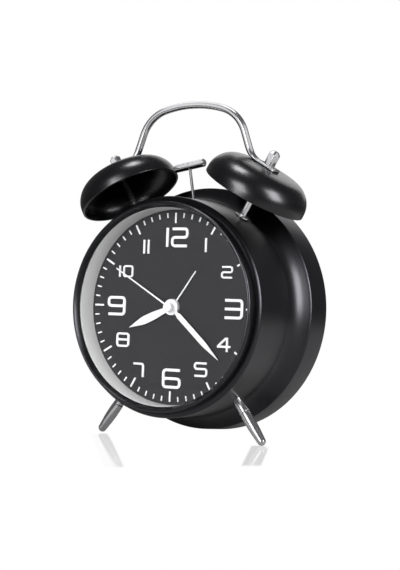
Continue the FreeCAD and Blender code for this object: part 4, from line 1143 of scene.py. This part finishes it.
@dataclass
class Handle:
    """The round bar over the bells, flattened to a tab under each nut."""

    bar_r: float = 1.75
    top: float = 98.2
    crown_rise: float = 6.5
    crown_round: float = 60.0
    shoulder_x: float = 25.0
    shoulder_round: float = 18.0
    arc_step: float = math.radians(2.5)
    knee: float = 6.4
    knee_rise: float = 0.7
    knee_round: float = 4.0
    knee_pull: float = 0.45
    knee_steps: int = 14
    tab_half_width: float = 3.1
    tab_inner: float = 5.0
    tab_outer: float = 5.0
    tab_corner: float = 0.7
    tab_bevel: float = 0.2
    tab_overlap: float = 0.4
    tab_share: float = 0.97
    bells: Bells = field(default_factory=Bells)

    def tab_point(self, along: float, height: float = 0.0) -> Vector:
        """A point over the right bell's top, along its flat and above it."""
        out = self.bells.rim_height + self.bells.height + self.bells.tab_thickness / 2 + height
        return self.bells.stand(1) @ Vector((along, 0.0, out))

    def knee_bend(self, leg_end: Vector) -> list[Station]:
        """Sections from the flat tab to the round leg.

        Args:
            leg_end: The leg's upper end.

        Returns:
            The sections.
        """
        knee = self.tab_point(-self.tab_inner - self.knee, self.knee_rise)
        leg = (leg_end - knee).normalized()
        end = knee + leg * self.knee_round
        start = self.tab_point(self.tab_overlap - self.tab_inner)
        inward = (self.tab_point(-self.tab_inner) - self.tab_point(0.0)).normalized()
        reach = (end - start).length * self.knee_pull
        flat = Vector((self.tab_half_width * self.tab_share, self.bells.tab_thickness / 2))
        whole = Vector((self.bar_r, self.bar_r))
        stations = []
        for i in range(self.knee_steps + 1):
            t = i / self.knee_steps
            centre, along = bezier(start, start + inward * reach, end - leg * reach, end, t)
            size = flat.lerp(whole, t * t * (3 - 2 * t))
            stations.append(Station(centre, along, size.x, size.y))
        return stations

    def arc(self, before: Vector, corner: Vector, after: Vector, rounding: float) -> list[Station]:
        """Sections round one corner of the bar's path.

        Args:
            before: A point of the path before the corner.
            corner: The corner.
            after: A point of the path after it.
            rounding: Radius of the bend.

        Returns:
            The sections.
        """
        entry = (corner - before).normalized()
        leave = (after - corner).normalized()
        offset, turn = tangent_length(before, corner, after, rounding)
        steps = arc_segments(turn, self.arc_step)
        first = corner - entry * offset
        side = (leave - entry * entry.dot(leave)).normalized()
        stations = []
        for i in range(steps + 1):
            swing = turn * i / steps
            centre = first + entry * (rounding * math.sin(swing)) + side * (rounding * (1 - math.cos(swing)))
            along = entry * math.cos(swing) + side * math.sin(swing)
            stations.append(Station(centre, along, self.bar_r, self.bar_r))
        return stations

    def right_half(self) -> list[Station]:
        """Sections from the right tab to the crown.

        Returns:
            The sections.
        """
        half_turn = math.atan2(self.crown_rise, self.shoulder_x)
        height = self.top - self.bar_r + self.crown_round * (1 / math.cos(half_turn) - 1)
        apex = Vector((0.0, self.bells.depth, height))
        shoulder = Vector((self.shoulder_x, self.bells.depth, height - self.crown_rise))
        stations = self.knee_bend(shoulder)
        stations += self.arc(stations[-1].centre, shoulder, apex, self.shoulder_round)
        across = Vector((-shoulder.x, shoulder.y, shoulder.z))
        stations += self.arc(stations[-1].centre, apex, across, self.crown_round)
        return [s for s in stations if s.centre.x > TINY]

    def bar(self) -> bmesh.types.BMesh:
        """The bar from tab to tab, as one ring of edges drawn along its path.

        Returns:
            The closed form.
        """
        right = self.right_half()
        flip = Vector((-1.0, 1.0, 1.0))
        left = [Station(s.centre * flip, -(s.along * flip), s.half_width, s.half_thickness)
                for s in reversed(right)]
        path = right + left
        form = bmesh.new()
        bmesh.ops.create_circle(form, cap_ends=True, radius=1.0, segments=48)
        bmesh.ops.transform(form, matrix=path[0].matrix(), verts=form.verts)
        ring = list(form.edges)
        for before, after in zip(path, path[1:]):
            grown = bmesh.ops.extrude_edge_only(form, edges=ring)["geom"]
            verts = [g for g in grown if isinstance(g, bmesh.types.BMVert)]
            ring = [g for g in grown if isinstance(g, bmesh.types.BMEdge)
                    and all(v in verts for v in g.verts)]
            bmesh.ops.transform(form, matrix=after.matrix() @ before.matrix().inverted(), verts=verts)
        bmesh.ops.edgeloop_fill(form, edges=ring)
        close_up(form)
        return form

    def tab(self) -> bmesh.types.BMesh:
        """The flat end on the right bell, drawn upright over the dial.

        Returns:
            The closed form.
        """
        low = self.bells.rim_height + self.bells.height
        width = self.tab_half_width
        form = plate([(-self.tab_inner, -width, 0.0), (self.tab_outer, -width, self.tab_corner),
                      (self.tab_outer, width, self.tab_corner), (-self.tab_inner, width, 0.0)], 0.0, 1.0)
        lay = Matrix(((1, 0, 0, 0), (0, 0, 1, 0), (0, self.bells.tab_thickness, 0, low), (0, 0, 0, 1)))
        moved(form, lay)
        bmesh.ops.recalc_face_normals(form, faces=form.faces)
        soften(form, self.tab_bevel)
        return moved(form, self.bells.stand(1))

    def build(self) -> None:
        """Make and place the handle."""
        right = self.tab()
        left = moved(right.copy(), Matrix.Diagonal((-1.0, 1.0, 1.0, 1.0)))
        place(joined([self.bar(), right, left]), "carry_handle", "clock", BRIGHT, ["handle"], crease=45.0)


def bezier(start: Vector, first: Vector, second: Vector, end: Vector, t: float) -> tuple[Vector, Vector]:
    """A point of a smooth bend and the way it runs there.

    Args:
        start: Where the bend begins.
        first: Its first control point.
        second: Its second control point.
        end: Where it ends.
        t: How far along it the point is, from 0 to 1.

    Returns:
        The point and the direction.
    """
    u = 1 - t
    point = start * u ** 3 + first * 3 * u * u * t + second * 3 * u * t * t + end * t ** 3
    along = (first - start) * u * u + (second - first) * 2 * u * t + (end - second) * t * t
    return point, along


@dataclass
class Feet:
    """The two turned feet."""

    angle: float = 36.6
    depth: float = 8.9
    foot_r: float = 2.25
    foot_round: float = 0.1
    middle_r: float = 2.7
    middle_at: float = 66.0
    middle_round: float = 60.0
    tip_r: float = 2.0
    tip_share: float = 0.98
    stud_r: float = 1.2
    stud_end: float = 46.4
    stud_round: float = 0.2
    drum_r: float = 51.5
    groove_at: float = 59.0
    groove_width: float = 0.7
    groove_depth: float = 0.35
    groove_rounds: tuple[float, float] = (0.08, 0.1)

    def foot(self) -> bmesh.types.BMesh:
        """One foot, its tip drawn upwards.

        Returns:
            The closed form.
        """
        low = STANCE.drop - self.tip_r - self.depth * math.sin(STANCE.lean)
        tip = low / (math.cos(STANCE.lean) * math.cos(math.radians(self.angle)))
        half = self.groove_width / 2
        share = (self.groove_at - self.drum_r) / (self.middle_at - self.drum_r)
        neck_r = self.foot_r + (self.middle_r - self.foot_r) * share
        brim, bottom = self.groove_rounds
        return turned([
            (0.0, self.stud_end, 0.0),
            (self.stud_r, self.stud_end, self.stud_round),
            (self.stud_r, self.drum_r, 0.0),
            (self.foot_r, self.drum_r, self.foot_round),
            (neck_r, self.groove_at - half, brim),
            (neck_r - self.groove_depth, self.groove_at, bottom),
            (neck_r, self.groove_at + half, brim),
            (self.middle_r, self.middle_at, self.middle_round),
            (self.tip_r, tip, 0.0),
            (self.tip_r, tip + self.tip_r, self.tip_r * self.tip_share),
            (0.0, tip + self.tip_r, 0.0),
        ], Axis.HEIGHT, steps=64)

    def build(self) -> None:
        """Make and place both feet."""
        for side, angle in (("left", 180 + self.angle), ("right", 180 - self.angle)):
            foot = moved(self.foot(), radial(angle, self.depth))
            place(foot, "leg_" + side, "clock", BRIGHT, ["foot_" + side])


@dataclass
class Hammer:
    """The striking cylinder on its wire."""

    depth: float = 16.6
    pivot_height: float = 44.0
    lean: float = 10.0
    length: float = 24.4
    head_r: float = 1.95
    head_length: float = 17.0
    chamfer: float = 0.5
    edge_round: float = 0.1
    groove: float = 0.15
    stem_r: float = 0.7
    stem_start: float = 1.5

    def swung(self, form: bmesh.types.BMesh) -> bmesh.types.BMesh:
        """Put a form drawn over the pivot at its rest lean."""
        stand = Matrix.Translation((0.0, self.depth, self.pivot_height))
        return moved(form, stand @ Matrix.Rotation(math.radians(-self.lean), 4, "Y"))

    def head(self) -> bmesh.types.BMesh:
        """The cylinder across the top of the wire, with a fine groove round its middle.

        Returns:
            The closed form.
        """
        half = self.head_length / 2
        end = [(0.0, half, 0.0), (self.head_r - self.chamfer, half, self.edge_round),
               (self.head_r, half - self.chamfer, self.edge_round), (self.head_r, self.groove, 0.0)]
        section = [(a, -b, r) for a, b, r in end] + [(self.head_r - self.groove, 0.0, 0.0)] + end[::-1]
        lay = Matrix.Translation((0.0, 0.0, self.length)) @ Matrix.Rotation(math.radians(90), 4, "Y")
        return self.swung(moved(turned(section, Axis.HEIGHT, steps=64), lay))

    def stem(self) -> bmesh.types.BMesh:
        """The wire."""
        section = rod(self.stem_r, self.stem_start, self.length, self.edge_round)
        return self.swung(turned(section, Axis.HEIGHT, steps=32))

    def build(self) -> None:
        """Make and place the head and the wire."""
        place(self.head(), "striker_head", "hammer", BRIGHT, ["hammer_head"])
        # the wire wears the darker chrome copy, its painted shade
        place(self.stem(), "striker_wire", "hammer", SHADED_WIRE_CHROME, ["hammer_stem"])


@dataclass
class Back:
    """The moulded back with its door, knobs, switch and screws."""

    depth: float = 32.5
    thickness: float = 2.0
    cover_r: float = 57.45
    cover_edge: float = 0.2
    lip: float = 1.5
    lip_width: float = 1.6
    lip_round: float = 0.4
    lip_foot_round: float = 0.8
    bay_half_length: float = 27.0
    bay_height: float = 15.0
    bay_middle: float = -28.0
    bay_depth: float = 16.0
    bay_wall: float = 1.2
    bay_overlap: float = 0.3
    door_margin: float = 2.0
    door_thickness: float = 1.0
    door_gap: float = 0.2
    door_corner: float = 1.3
    door_bevel: float = 0.18
    recess_corner: float = 1.5
    rib_count: int = 3
    rib_pitch: float = 1.6
    rib_half_length: float = 8.0
    rib_width: float = 0.7
    rib_margin: float = 3.4
    rib_heights: tuple[float, float] = (-0.3, 0.6)
    rib_bevel: float = 0.2
    knob_x: float = 12.0
    knob_r: float = 7.5
    knob_height: float = 5.8
    knob_standoff: float = 0.5
    knob_chamfer: float = 0.6
    knob_band: tuple[float, float] = (1.2, 1.5)
    knob_rounds: tuple[float, float, float, float] = (0.1, 0.2, 1.2, 0.3)
    dish_depth: float = 0.35
    dish_rim: tuple[float, float] = (2.2, 2.7)
    stem_r: float = 1.25
    stem_gap: float = 0.35
    flutes: int = 14
    flute_r: float = 0.9
    flute_start: float = 1.3
    flute_out: float = 0.35
    switch_middle: float = 22.0
    switch_bevel: float = 0.15
    slot_half_length: float = 3.9
    slot_half_height: float = 1.3
    screw_ring: float = 51.5
    screw_count: int = 3
    screw_r: float = 1.2
    screw_gap: float = 0.2
    screw_length: float = 4.5
    head_r: float = 2.6
    head_height: float = 1.7
    screw_rounds: tuple[float, float, float] = (0.2, 0.15, 0.8)
    driver_slot: tuple[float, float] = (0.35, 0.8)
    hole_length: float = 5.0
    past: float = 1.0

    def face(self) -> float:
        """Depth of the cover's outer face."""
        return self.depth + self.thickness

    def bay_span(self, margin: float = 0.0) -> tuple[float, float]:
        """Lowest and highest place of the battery bay, with a margin."""
        half = self.bay_height / 2 + margin
        return self.bay_middle - half, self.bay_middle + half

    def screw_places(self) -> list[Matrix]:
        """The moves that stand a piece drawn in the middle at each screw."""
        out = Matrix.Translation((0.0, 0.0, self.screw_ring))
        return [radial(i * 360.0 / self.screw_count) @ out for i in range(self.screw_count)]

    def hole(self, radius: float, steps: int, spot: Matrix) -> bmesh.types.BMesh:
        """A round cutter through the cover."""
        start = self.depth - self.past
        return moved(turned(rod(radius, start, start + self.hole_length), steps=steps), spot)

    def cover(self) -> bmesh.types.BMesh:
        """The dished cover with its openings.

        Returns:
            The closed form.
        """
        back = self.face()
        inner = self.cover_r - self.lip_width
        form = turned([
            (0.0, self.depth, 0.0),
            (self.cover_r, self.depth, self.cover_edge),
            (self.cover_r, back + self.lip, self.lip_round),
            (inner, back + self.lip, self.lip_round),
            (inner - self.lip, back, self.lip_foot_round),
            (0.0, back, 0.0),
        ], steps=192)
        low, high = self.bay_span()
        outline = oblong(self.bay_half_length + self.door_margin, *self.bay_span(self.door_margin),
                         self.recess_corner)
        cuts = [plate(outline, back - self.door_thickness, self.door_thickness + self.past)]
        for half, start, end in ((self.bay_half_length, low, high),
                                 (self.slot_half_length, self.switch_middle - self.slot_half_height,
                                  self.switch_middle + self.slot_half_height)):
            cuts.append(block((-half, self.depth - self.past, start), (half, back + self.past, end)))
        for x in (-self.knob_x, self.knob_x):
            cuts.append(self.hole(self.stem_r + self.stem_gap, 32, Matrix.Translation((x, 0, 0))))
        for spot in self.screw_places():
            cuts.append(self.hole(self.screw_r + self.screw_gap, 24, spot))
        return carved(form, cuts)

    def bay(self) -> bmesh.types.BMesh:
        """The open box behind the door that holds the cell.

        Returns:
            The closed form.
        """
        low, high = self.bay_span()
        length = self.bay_half_length
        wall = self.bay_wall
        start = self.depth - self.bay_depth
        outer = block((-length - wall, start - wall, low - wall),
                      (length + wall, self.depth + self.bay_overlap, high + wall))
        return carved(outer, [block((-length, start, low), (length, self.depth + 2 * self.past, high))])

    def door(self) -> bmesh.types.BMesh:
        """The door with its finger ribs.

        Returns:
            The panel and the ribs as one form.
        """
        back = self.face()
        reach = self.door_margin - self.door_gap
        low, high = self.bay_span(reach)
        outline = oblong(self.bay_half_length + reach, low, high, self.door_corner)
        panel = plate(outline, back - self.door_thickness, self.door_thickness)
        soften(panel, self.door_bevel, SHARP)
        forms = [panel]
        under, over = self.rib_heights
        for i in range(self.rib_count):
            foot = high - self.rib_margin - self.rib_pitch * i
            rib = block((-self.rib_half_length, back + under, foot),
                        (self.rib_half_length, back + over, foot + self.rib_width))
            soften(rib, self.rib_bevel)
            forms.append(rib)
        return joined(forms)

    def knob(self, x: float) -> bmesh.types.BMesh:
        """A fluted knob with a shallow dish in its face.

        Args:
            x: Its place across the cover.

        Returns:
            The closed form.
        """
        start = self.face() + self.knob_standoff
        end = start + self.knob_height
        dish = end - self.dish_depth
        foot, chamfer, shoulder, rim = self.knob_rounds
        form = turned([
            (0.0, start, 0.0),
            (self.knob_r - self.knob_chamfer, start, foot),
            (self.knob_r, start + self.knob_chamfer, chamfer),
            (self.knob_r, start + self.knob_band[0], 0.0),
            (self.knob_r, start + self.knob_band[1], 0.0),
            (self.knob_r, end, shoulder),
            (self.knob_r - self.dish_rim[0], end, rim),
            (self.knob_r - self.dish_rim[1], dish, rim),
            (0.0, dish, 0.0),
        ], steps=self.flutes * 12)
        for vert in form.verts:
            if vert.co.y >= start + self.flute_start:
                self.press_flute(vert)
        return moved(form, Matrix.Translation((x, 0.0, 0.0)))

    def press_flute(self, vert: bmesh.types.BMVert) -> None:
        """Move a vertex of a knob's side in to the flute that it lies over.

        Args:
            vert: The vertex, moved in place.
        """
        middle = self.knob_r + self.flute_out
        pitch = math.tau / self.flutes
        radius = math.hypot(vert.co.x, vert.co.z)
        turn = (math.atan2(vert.co.x, vert.co.z) + pitch / 2) % pitch - pitch / 2
        aside = middle * math.sin(turn)
        if abs(aside) < self.flute_r:
            bottom = middle * math.cos(turn) - math.sqrt(self.flute_r ** 2 - aside ** 2)
            if radius > bottom:
                vert.co.x *= bottom / radius
                vert.co.z *= bottom / radius

    def screws(self) -> bmesh.types.BMesh:
        """The pan-headed screws round the cover.

        Returns:
            The screws as one form.
        """
        base = self.face()
        end = base - self.screw_length
        top = base + self.head_height
        point, under, over = self.screw_rounds
        half, deep = self.driver_slot
        made = []
        for spot in self.screw_places():
            form = turned([
                (0.0, end, 0.0),
                (self.screw_r, end, point),
                (self.screw_r, base, 0.0),
                (self.head_r, base, under),
                (self.head_r, top, over),
                (0.0, top, 0.0),
            ], steps=48)
            across = self.head_r + self.past
            slot = block((-across, top - deep, -half), (across, top + self.past, half))
            made.append(moved(carved(form, [slot]), spot))
        return joined(made)

    def switch(self) -> bmesh.types.BMesh:
        """The sliding button with its grooves.

        Returns:
            The closed form.
        """
        form = node_copy("alarm_switch")
        soften(form, self.switch_bevel, SHARP)
        return form

    def build(self) -> None:
        """Make and place the back."""
        place(joined([self.cover(), self.bay()]), "back_cover", "clock", BACK_PLASTIC, ["rear_cover"])
        place(self.door(), "cell_door", "door", BACK_PLASTIC, ["battery_door"])
        for name, x in (("time", -self.knob_x), ("alarm", self.knob_x)):
            place(self.knob(x), "knob_" + name, name + "_setting", KNOB_PLASTIC, [name + "_set_knob"])
        place(self.screws(), "back_screws", "clock", STEEL, ["cover_screws"])
        place(self.switch(), "switch_slider", "switch_button", KNOB_PLASTIC, ["alarm_switch"])


class Works:
    """The CAD nodes, each in the finish of its slot; what no piece replaces later keeps this look."""

    FINISHES = {finish.slot: finish for finish in (
        STEEL, IRON, COPPER, BACK_PLASTIC, KNOB_PLASTIC, JACKET, MOVEMENT_PLASTIC, WHEEL_PLASTIC, BOARD,
        BRIGHT, WHITE_TRIM, CASE_PAINT, RING_GREY, DIAL_PAINT, CLEAR_GLASS)}

    def build(self) -> None:
        """Dress every CAD node."""
        slots = {row["node"]: row["material_slot"] for row in frame["record"]["subparts"]}
        for name, node in frame["nodes"].items():
            finish = self.FINISHES[slots[name]]
            node.data.materials.clear()
            node.data.materials.append(finish.material())
            LOG.info("%s is dressed in %s", name, finish.name)


@dataclass
class PhotoCamera:
    """The camera that took the photograph, fitted to the clock's own circles, upright and in millimetres."""

    yaw: float = 0.55292
    pitch: float = -0.01701
    roll: float = 0.03455
    distance: float = 674.160
    aim_x: float = 14.064
    aim_z: float = 10.6656
    focal_px: float = 1457.191
    image_height: float = 570.0
    sensor: float = 36.0
    clip: tuple[float, float] = (0.01, 50.0)

    def build(self) -> None:
        """Make the camera and look through it."""
        back = Vector((math.sin(self.yaw) * math.cos(self.pitch), -math.cos(self.yaw) * math.cos(self.pitch),
                       math.sin(self.pitch)))
        level = Vector((math.cos(self.yaw), math.sin(self.yaw), 0.0))
        steep = back.cross(level)
        right = level * math.cos(self.roll) + steep * math.sin(self.roll)
        up = steep * math.cos(self.roll) - level * math.sin(self.roll)
        spot = Vector((self.aim_x, 0.0, self.aim_z)) + back * self.distance
        lean = Matrix.Rotation(-STANCE.lean, 3, "X")
        axes = Matrix([lean @ v for v in (right, up, back)]).transposed()
        data = bpy.data.cameras.new("photo_camera")
        data.sensor_width = self.sensor
        data.lens = self.focal_px / self.image_height * self.sensor
        data.clip_start, data.clip_end = self.clip
        camera = in_scene("photo_camera", data)
        camera.matrix_world = Matrix.Translation(STANCE.matrix() @ spot) @ axes.to_4x4()
        bpy.context.scene.camera = camera


UPPER_METAL = ("carry_handle", "bell_nuts", "post_left", "post_right", "striker_head", "striker_wire")
METAL = (*UPPER_METAL, "leg_left", "leg_right")
REAR = ("back_cover", "cell_door", "knob_time", "knob_alarm", "back_screws", "switch_slider", "switch_body")


@dataclass(frozen=True)
class Softbox:
    """One studio light, aimed at the clock.

    It stands turn degrees round the clock, from the front towards the right, and rise degrees up. Its sizes
    are in metres, its power in watts. It lights only the pieces it names, or all but those it never lights.
    """

    name: str
    turn: float
    rise: float
    distance: float
    width: float
    height: float
    power: float
    only: tuple[str, ...] = ()
    never: tuple[str, ...] = ()

    def build(self, aim: Vector) -> None:
        """Place the light, flagged off from some pieces where it names them.

        Args:
            aim: The point it looks at, in metres.
        """
        turn, rise = math.radians(self.turn), math.radians(self.rise)
        way = Vector((math.sin(turn) * math.cos(rise), -math.cos(turn) * math.cos(rise), math.sin(rise)))
        data = bpy.data.lights.new(self.name, "AREA")
        data.shape = "RECTANGLE"
        data.size = self.width
        data.size_y = self.height
        data.energy = self.power
        light = in_scene(self.name, data)
        if self.only or self.never:
            lit = bpy.data.collections.new(self.name + "_lit")
            for piece in self.only or [o.name for o in bpy.context.scene.objects if o.type == "MESH"]:
                if piece not in self.never:
                    lit.objects.link(bpy.data.objects[piece])
            light.light_linking.receiver_collection = lit
        light.location = aim + way * self.distance
        light.rotation_euler = way.to_track_quat("Z", "Y").to_euler()


@dataclass(frozen=True)
class Sheen:
    """A strip of the floor's sheen in front of a foot, in metres, along the way that the camera looks.

    Its middle line lies middle metres to the right of the clock's middle, less slope for each metre away from
    the camera, and the strip ends end metres behind the clock's middle.
    """

    middle: float
    slope: float
    end: float


@dataclass
class Studio:
    """The pale floor, the white surroundings and the lights."""

    floor_half: float = 1.4
    floor_tone: float = 0.48
    # painted shade: the far tone and its fall darken the floor away from the clock, standing in for the light
    # falling off
    floor_far_painted_shade: float = 0.12
    floor_light_falloff: tuple[float, float] = (0.24, 0.42)
    sheen: float = 0.40
    sheen_roughness: float = 0.1
    sheen_turn: float = 0.55292
    sheen_sides: tuple[float, float] = (0.0034, 0.0048)
    sheen_front: tuple[float, float] = (-0.086, -0.078)
    sheen_fade: float = 0.004
    strips: tuple[Sheen, Sheen] = (Sheen(-0.0432, 0.135, 0.010), Sheen(0.0357, -0.121, -0.030))
    room: Colour = (0.95, 0.96, 1.0)
    room_strength: float = 0.14
    aim: Corner = (0.0, 0.0, 0.07)
    lights: tuple[Softbox, ...] = (
        Softbox("right_box", 83.0, 16.0, 1.1, 0.44, 0.62, 12.4, never=METAL),
        Softbox("flare_box", 54.0, 17.0, 1.1, 0.70, 0.60, 4.2, only=("case_shell",)),
        Softbox("front_box", 0.0, 17.0, 1.3, 0.60, 0.78, 18.0, never=("case_shell", "front_glass", *METAL)),
        Softbox("top_box", 0.0, 88.0, 1.2, 0.38, 0.38, 8.2, never=("case_shell", *METAL)),
        Softbox("back_box", -160.0, 22.0, 1.8, 1.5, 1.1, 5.4, never=METAL),
        Softbox("metal_right", 83.0, 16.0, 1.1, 0.44, 0.62, 3.0, only=METAL),
        Softbox("metal_front", 0.0, 17.0, 1.3, 0.60, 0.78, 4.4, only=METAL),
        Softbox("metal_top", 0.0, 88.0, 1.2, 0.50, 0.50, 2.0, only=METAL),
        Softbox("metal_side", 84.0, 20.0, 0.9, 2.2, 1.1, 5.0, only=UPPER_METAL),
        Softbox("metal_left", -38.0, 20.0, 0.9, 0.45, 0.84, 1.1, only=UPPER_METAL),
        Softbox("metal_high", -85.0, 64.0, 0.9, 0.90, 0.60, 1.4, only=UPPER_METAL),
        Softbox("metal_back", -142.0, 46.0, 1.1, 1.0, 0.9, 2.2, only=UPPER_METAL),
        Softbox("rear_fill", 165.0, 30.0, 1.1, 0.9, 0.7, 9.0, only=REAR),
    )

    def sheen_mask(self, hand: NodeTree, spot: bpy.types.NodeSocket) -> bpy.types.NodeSocket:
        """Where and how strongly the floor mirrors.

        Args:
            hand: What builds the nodes.
            spot: The output that gives the place on the floor.

        Returns:
            The mask's output.
        """
        turn = hand.add("ShaderNodeMapping", {"Vector": spot, "Rotation": (0.0, 0.0, -self.sheen_turn)})
        sides = hand.add("ShaderNodeSeparateXYZ", {"Vector": turn.outputs["Vector"]}).outputs
        across, depth = sides["X"], sides["Y"]
        masks = []
        for strip in self.strips:
            line = hand.calc("ADD", across, hand.calc("MULTIPLY", depth, strip.slope))
            aside = hand.calc("ABSOLUTE", hand.calc("SUBTRACT", line, strip.middle))
            width = hand.ramp(aside, self.sheen_sides, self.sheen, 0.0)
            behind = hand.ramp(depth, (strip.end - self.sheen_fade, strip.end), 1.0, 0.0)
            front = hand.ramp(depth, self.sheen_front, 0.0, 1.0)
            masks.append(hand.calc("MULTIPLY", width, hand.calc("MULTIPLY", behind, front)))
        slant = hand.add("ShaderNodeLayerWeight", {"Blend": 0.5})
        return hand.calc("MULTIPLY", slant.outputs["Facing"], hand.calc("MAXIMUM", *masks))

    def floor_shader(self, hand: NodeTree) -> bpy.types.Node:
        """The floor: plain white to the eye with a soft sheen, lit like paper for what it mirrors in; that
        paper is painted darker away from the clock, as painted shade for light falling off.

        Args:
            hand: What builds the nodes.

        Returns:
            The shader.
        """
        spot = hand.add("ShaderNodeTexCoord").outputs["Object"]
        away = hand.add("ShaderNodeVectorMath", {0: spot}, operation="LENGTH").outputs["Value"]
        # painted shade: the paper's tone falls from near the clock to the far floor, standing in for the
        # light falling off away from the lamps
        tone = hand.ramp(away, self.floor_light_falloff, self.floor_tone, self.floor_far_painted_shade)
        paper = hand.add("ShaderNodeBsdfDiffuse", {"Color": tone})
        mirror = hand.add("ShaderNodeBsdfGlossy", {"Roughness": self.sheen_roughness})
        seen = hand.blend(self.sheen_mask(hand, spot), hand.add("ShaderNodeEmission"), mirror)
        return hand.blend(hand.add("ShaderNodeLightPath").outputs["Is Camera Ray"], paper, seen)

    def floor(self) -> None:
        """The floor."""
        form = bmesh.new()
        bmesh.ops.create_grid(form, x_segments=1, y_segments=1, size=self.floor_half)
        floor = mesh_object("floor", form)
        floor.data.materials.append(new_material("floor_white", self.floor_shader))

    def surroundings(self) -> None:
        """White where the camera looks, and a dim room everywhere else."""
        world = bpy.data.worlds.new("studio")
        bpy.context.scene.world = world
        world.use_nodes = True
        world.node_tree.nodes.clear()
        hand = NodeTree(world.node_tree)
        white = hand.add("ShaderNodeBackground", {"Color": (1.0, 1.0, 1.0, 1.0)})
        dim = hand.add("ShaderNodeBackground", {"Color": (*self.room, 1.0), "Strength": self.room_strength})
        mix = hand.blend(hand.add("ShaderNodeLightPath").outputs["Is Camera Ray"], dim, white)
        hand.add("ShaderNodeOutputWorld", {"Surface": mix.outputs["Shader"]})

    def build(self) -> None:
        """Light the scene."""
        bpy.context.scene.view_settings.view_transform = "Standard"
        self.floor()
        self.surroundings()
        for light in self.lights:
            light.build(Vector(self.aim))


def main() -> None:
    """Build the clock, sub-assembly by sub-assembly, and its studio."""
    logging.basicConfig(level=logging.INFO, format="%(message)s")
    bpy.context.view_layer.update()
    for part in (Works(), Case(), Front(), Hands(), Bells(), Handle(), Feet(), Hammer(), Back(),
                 PhotoCamera(), Studio()):
        part.build()


if __name__ == "__main__":
    main()
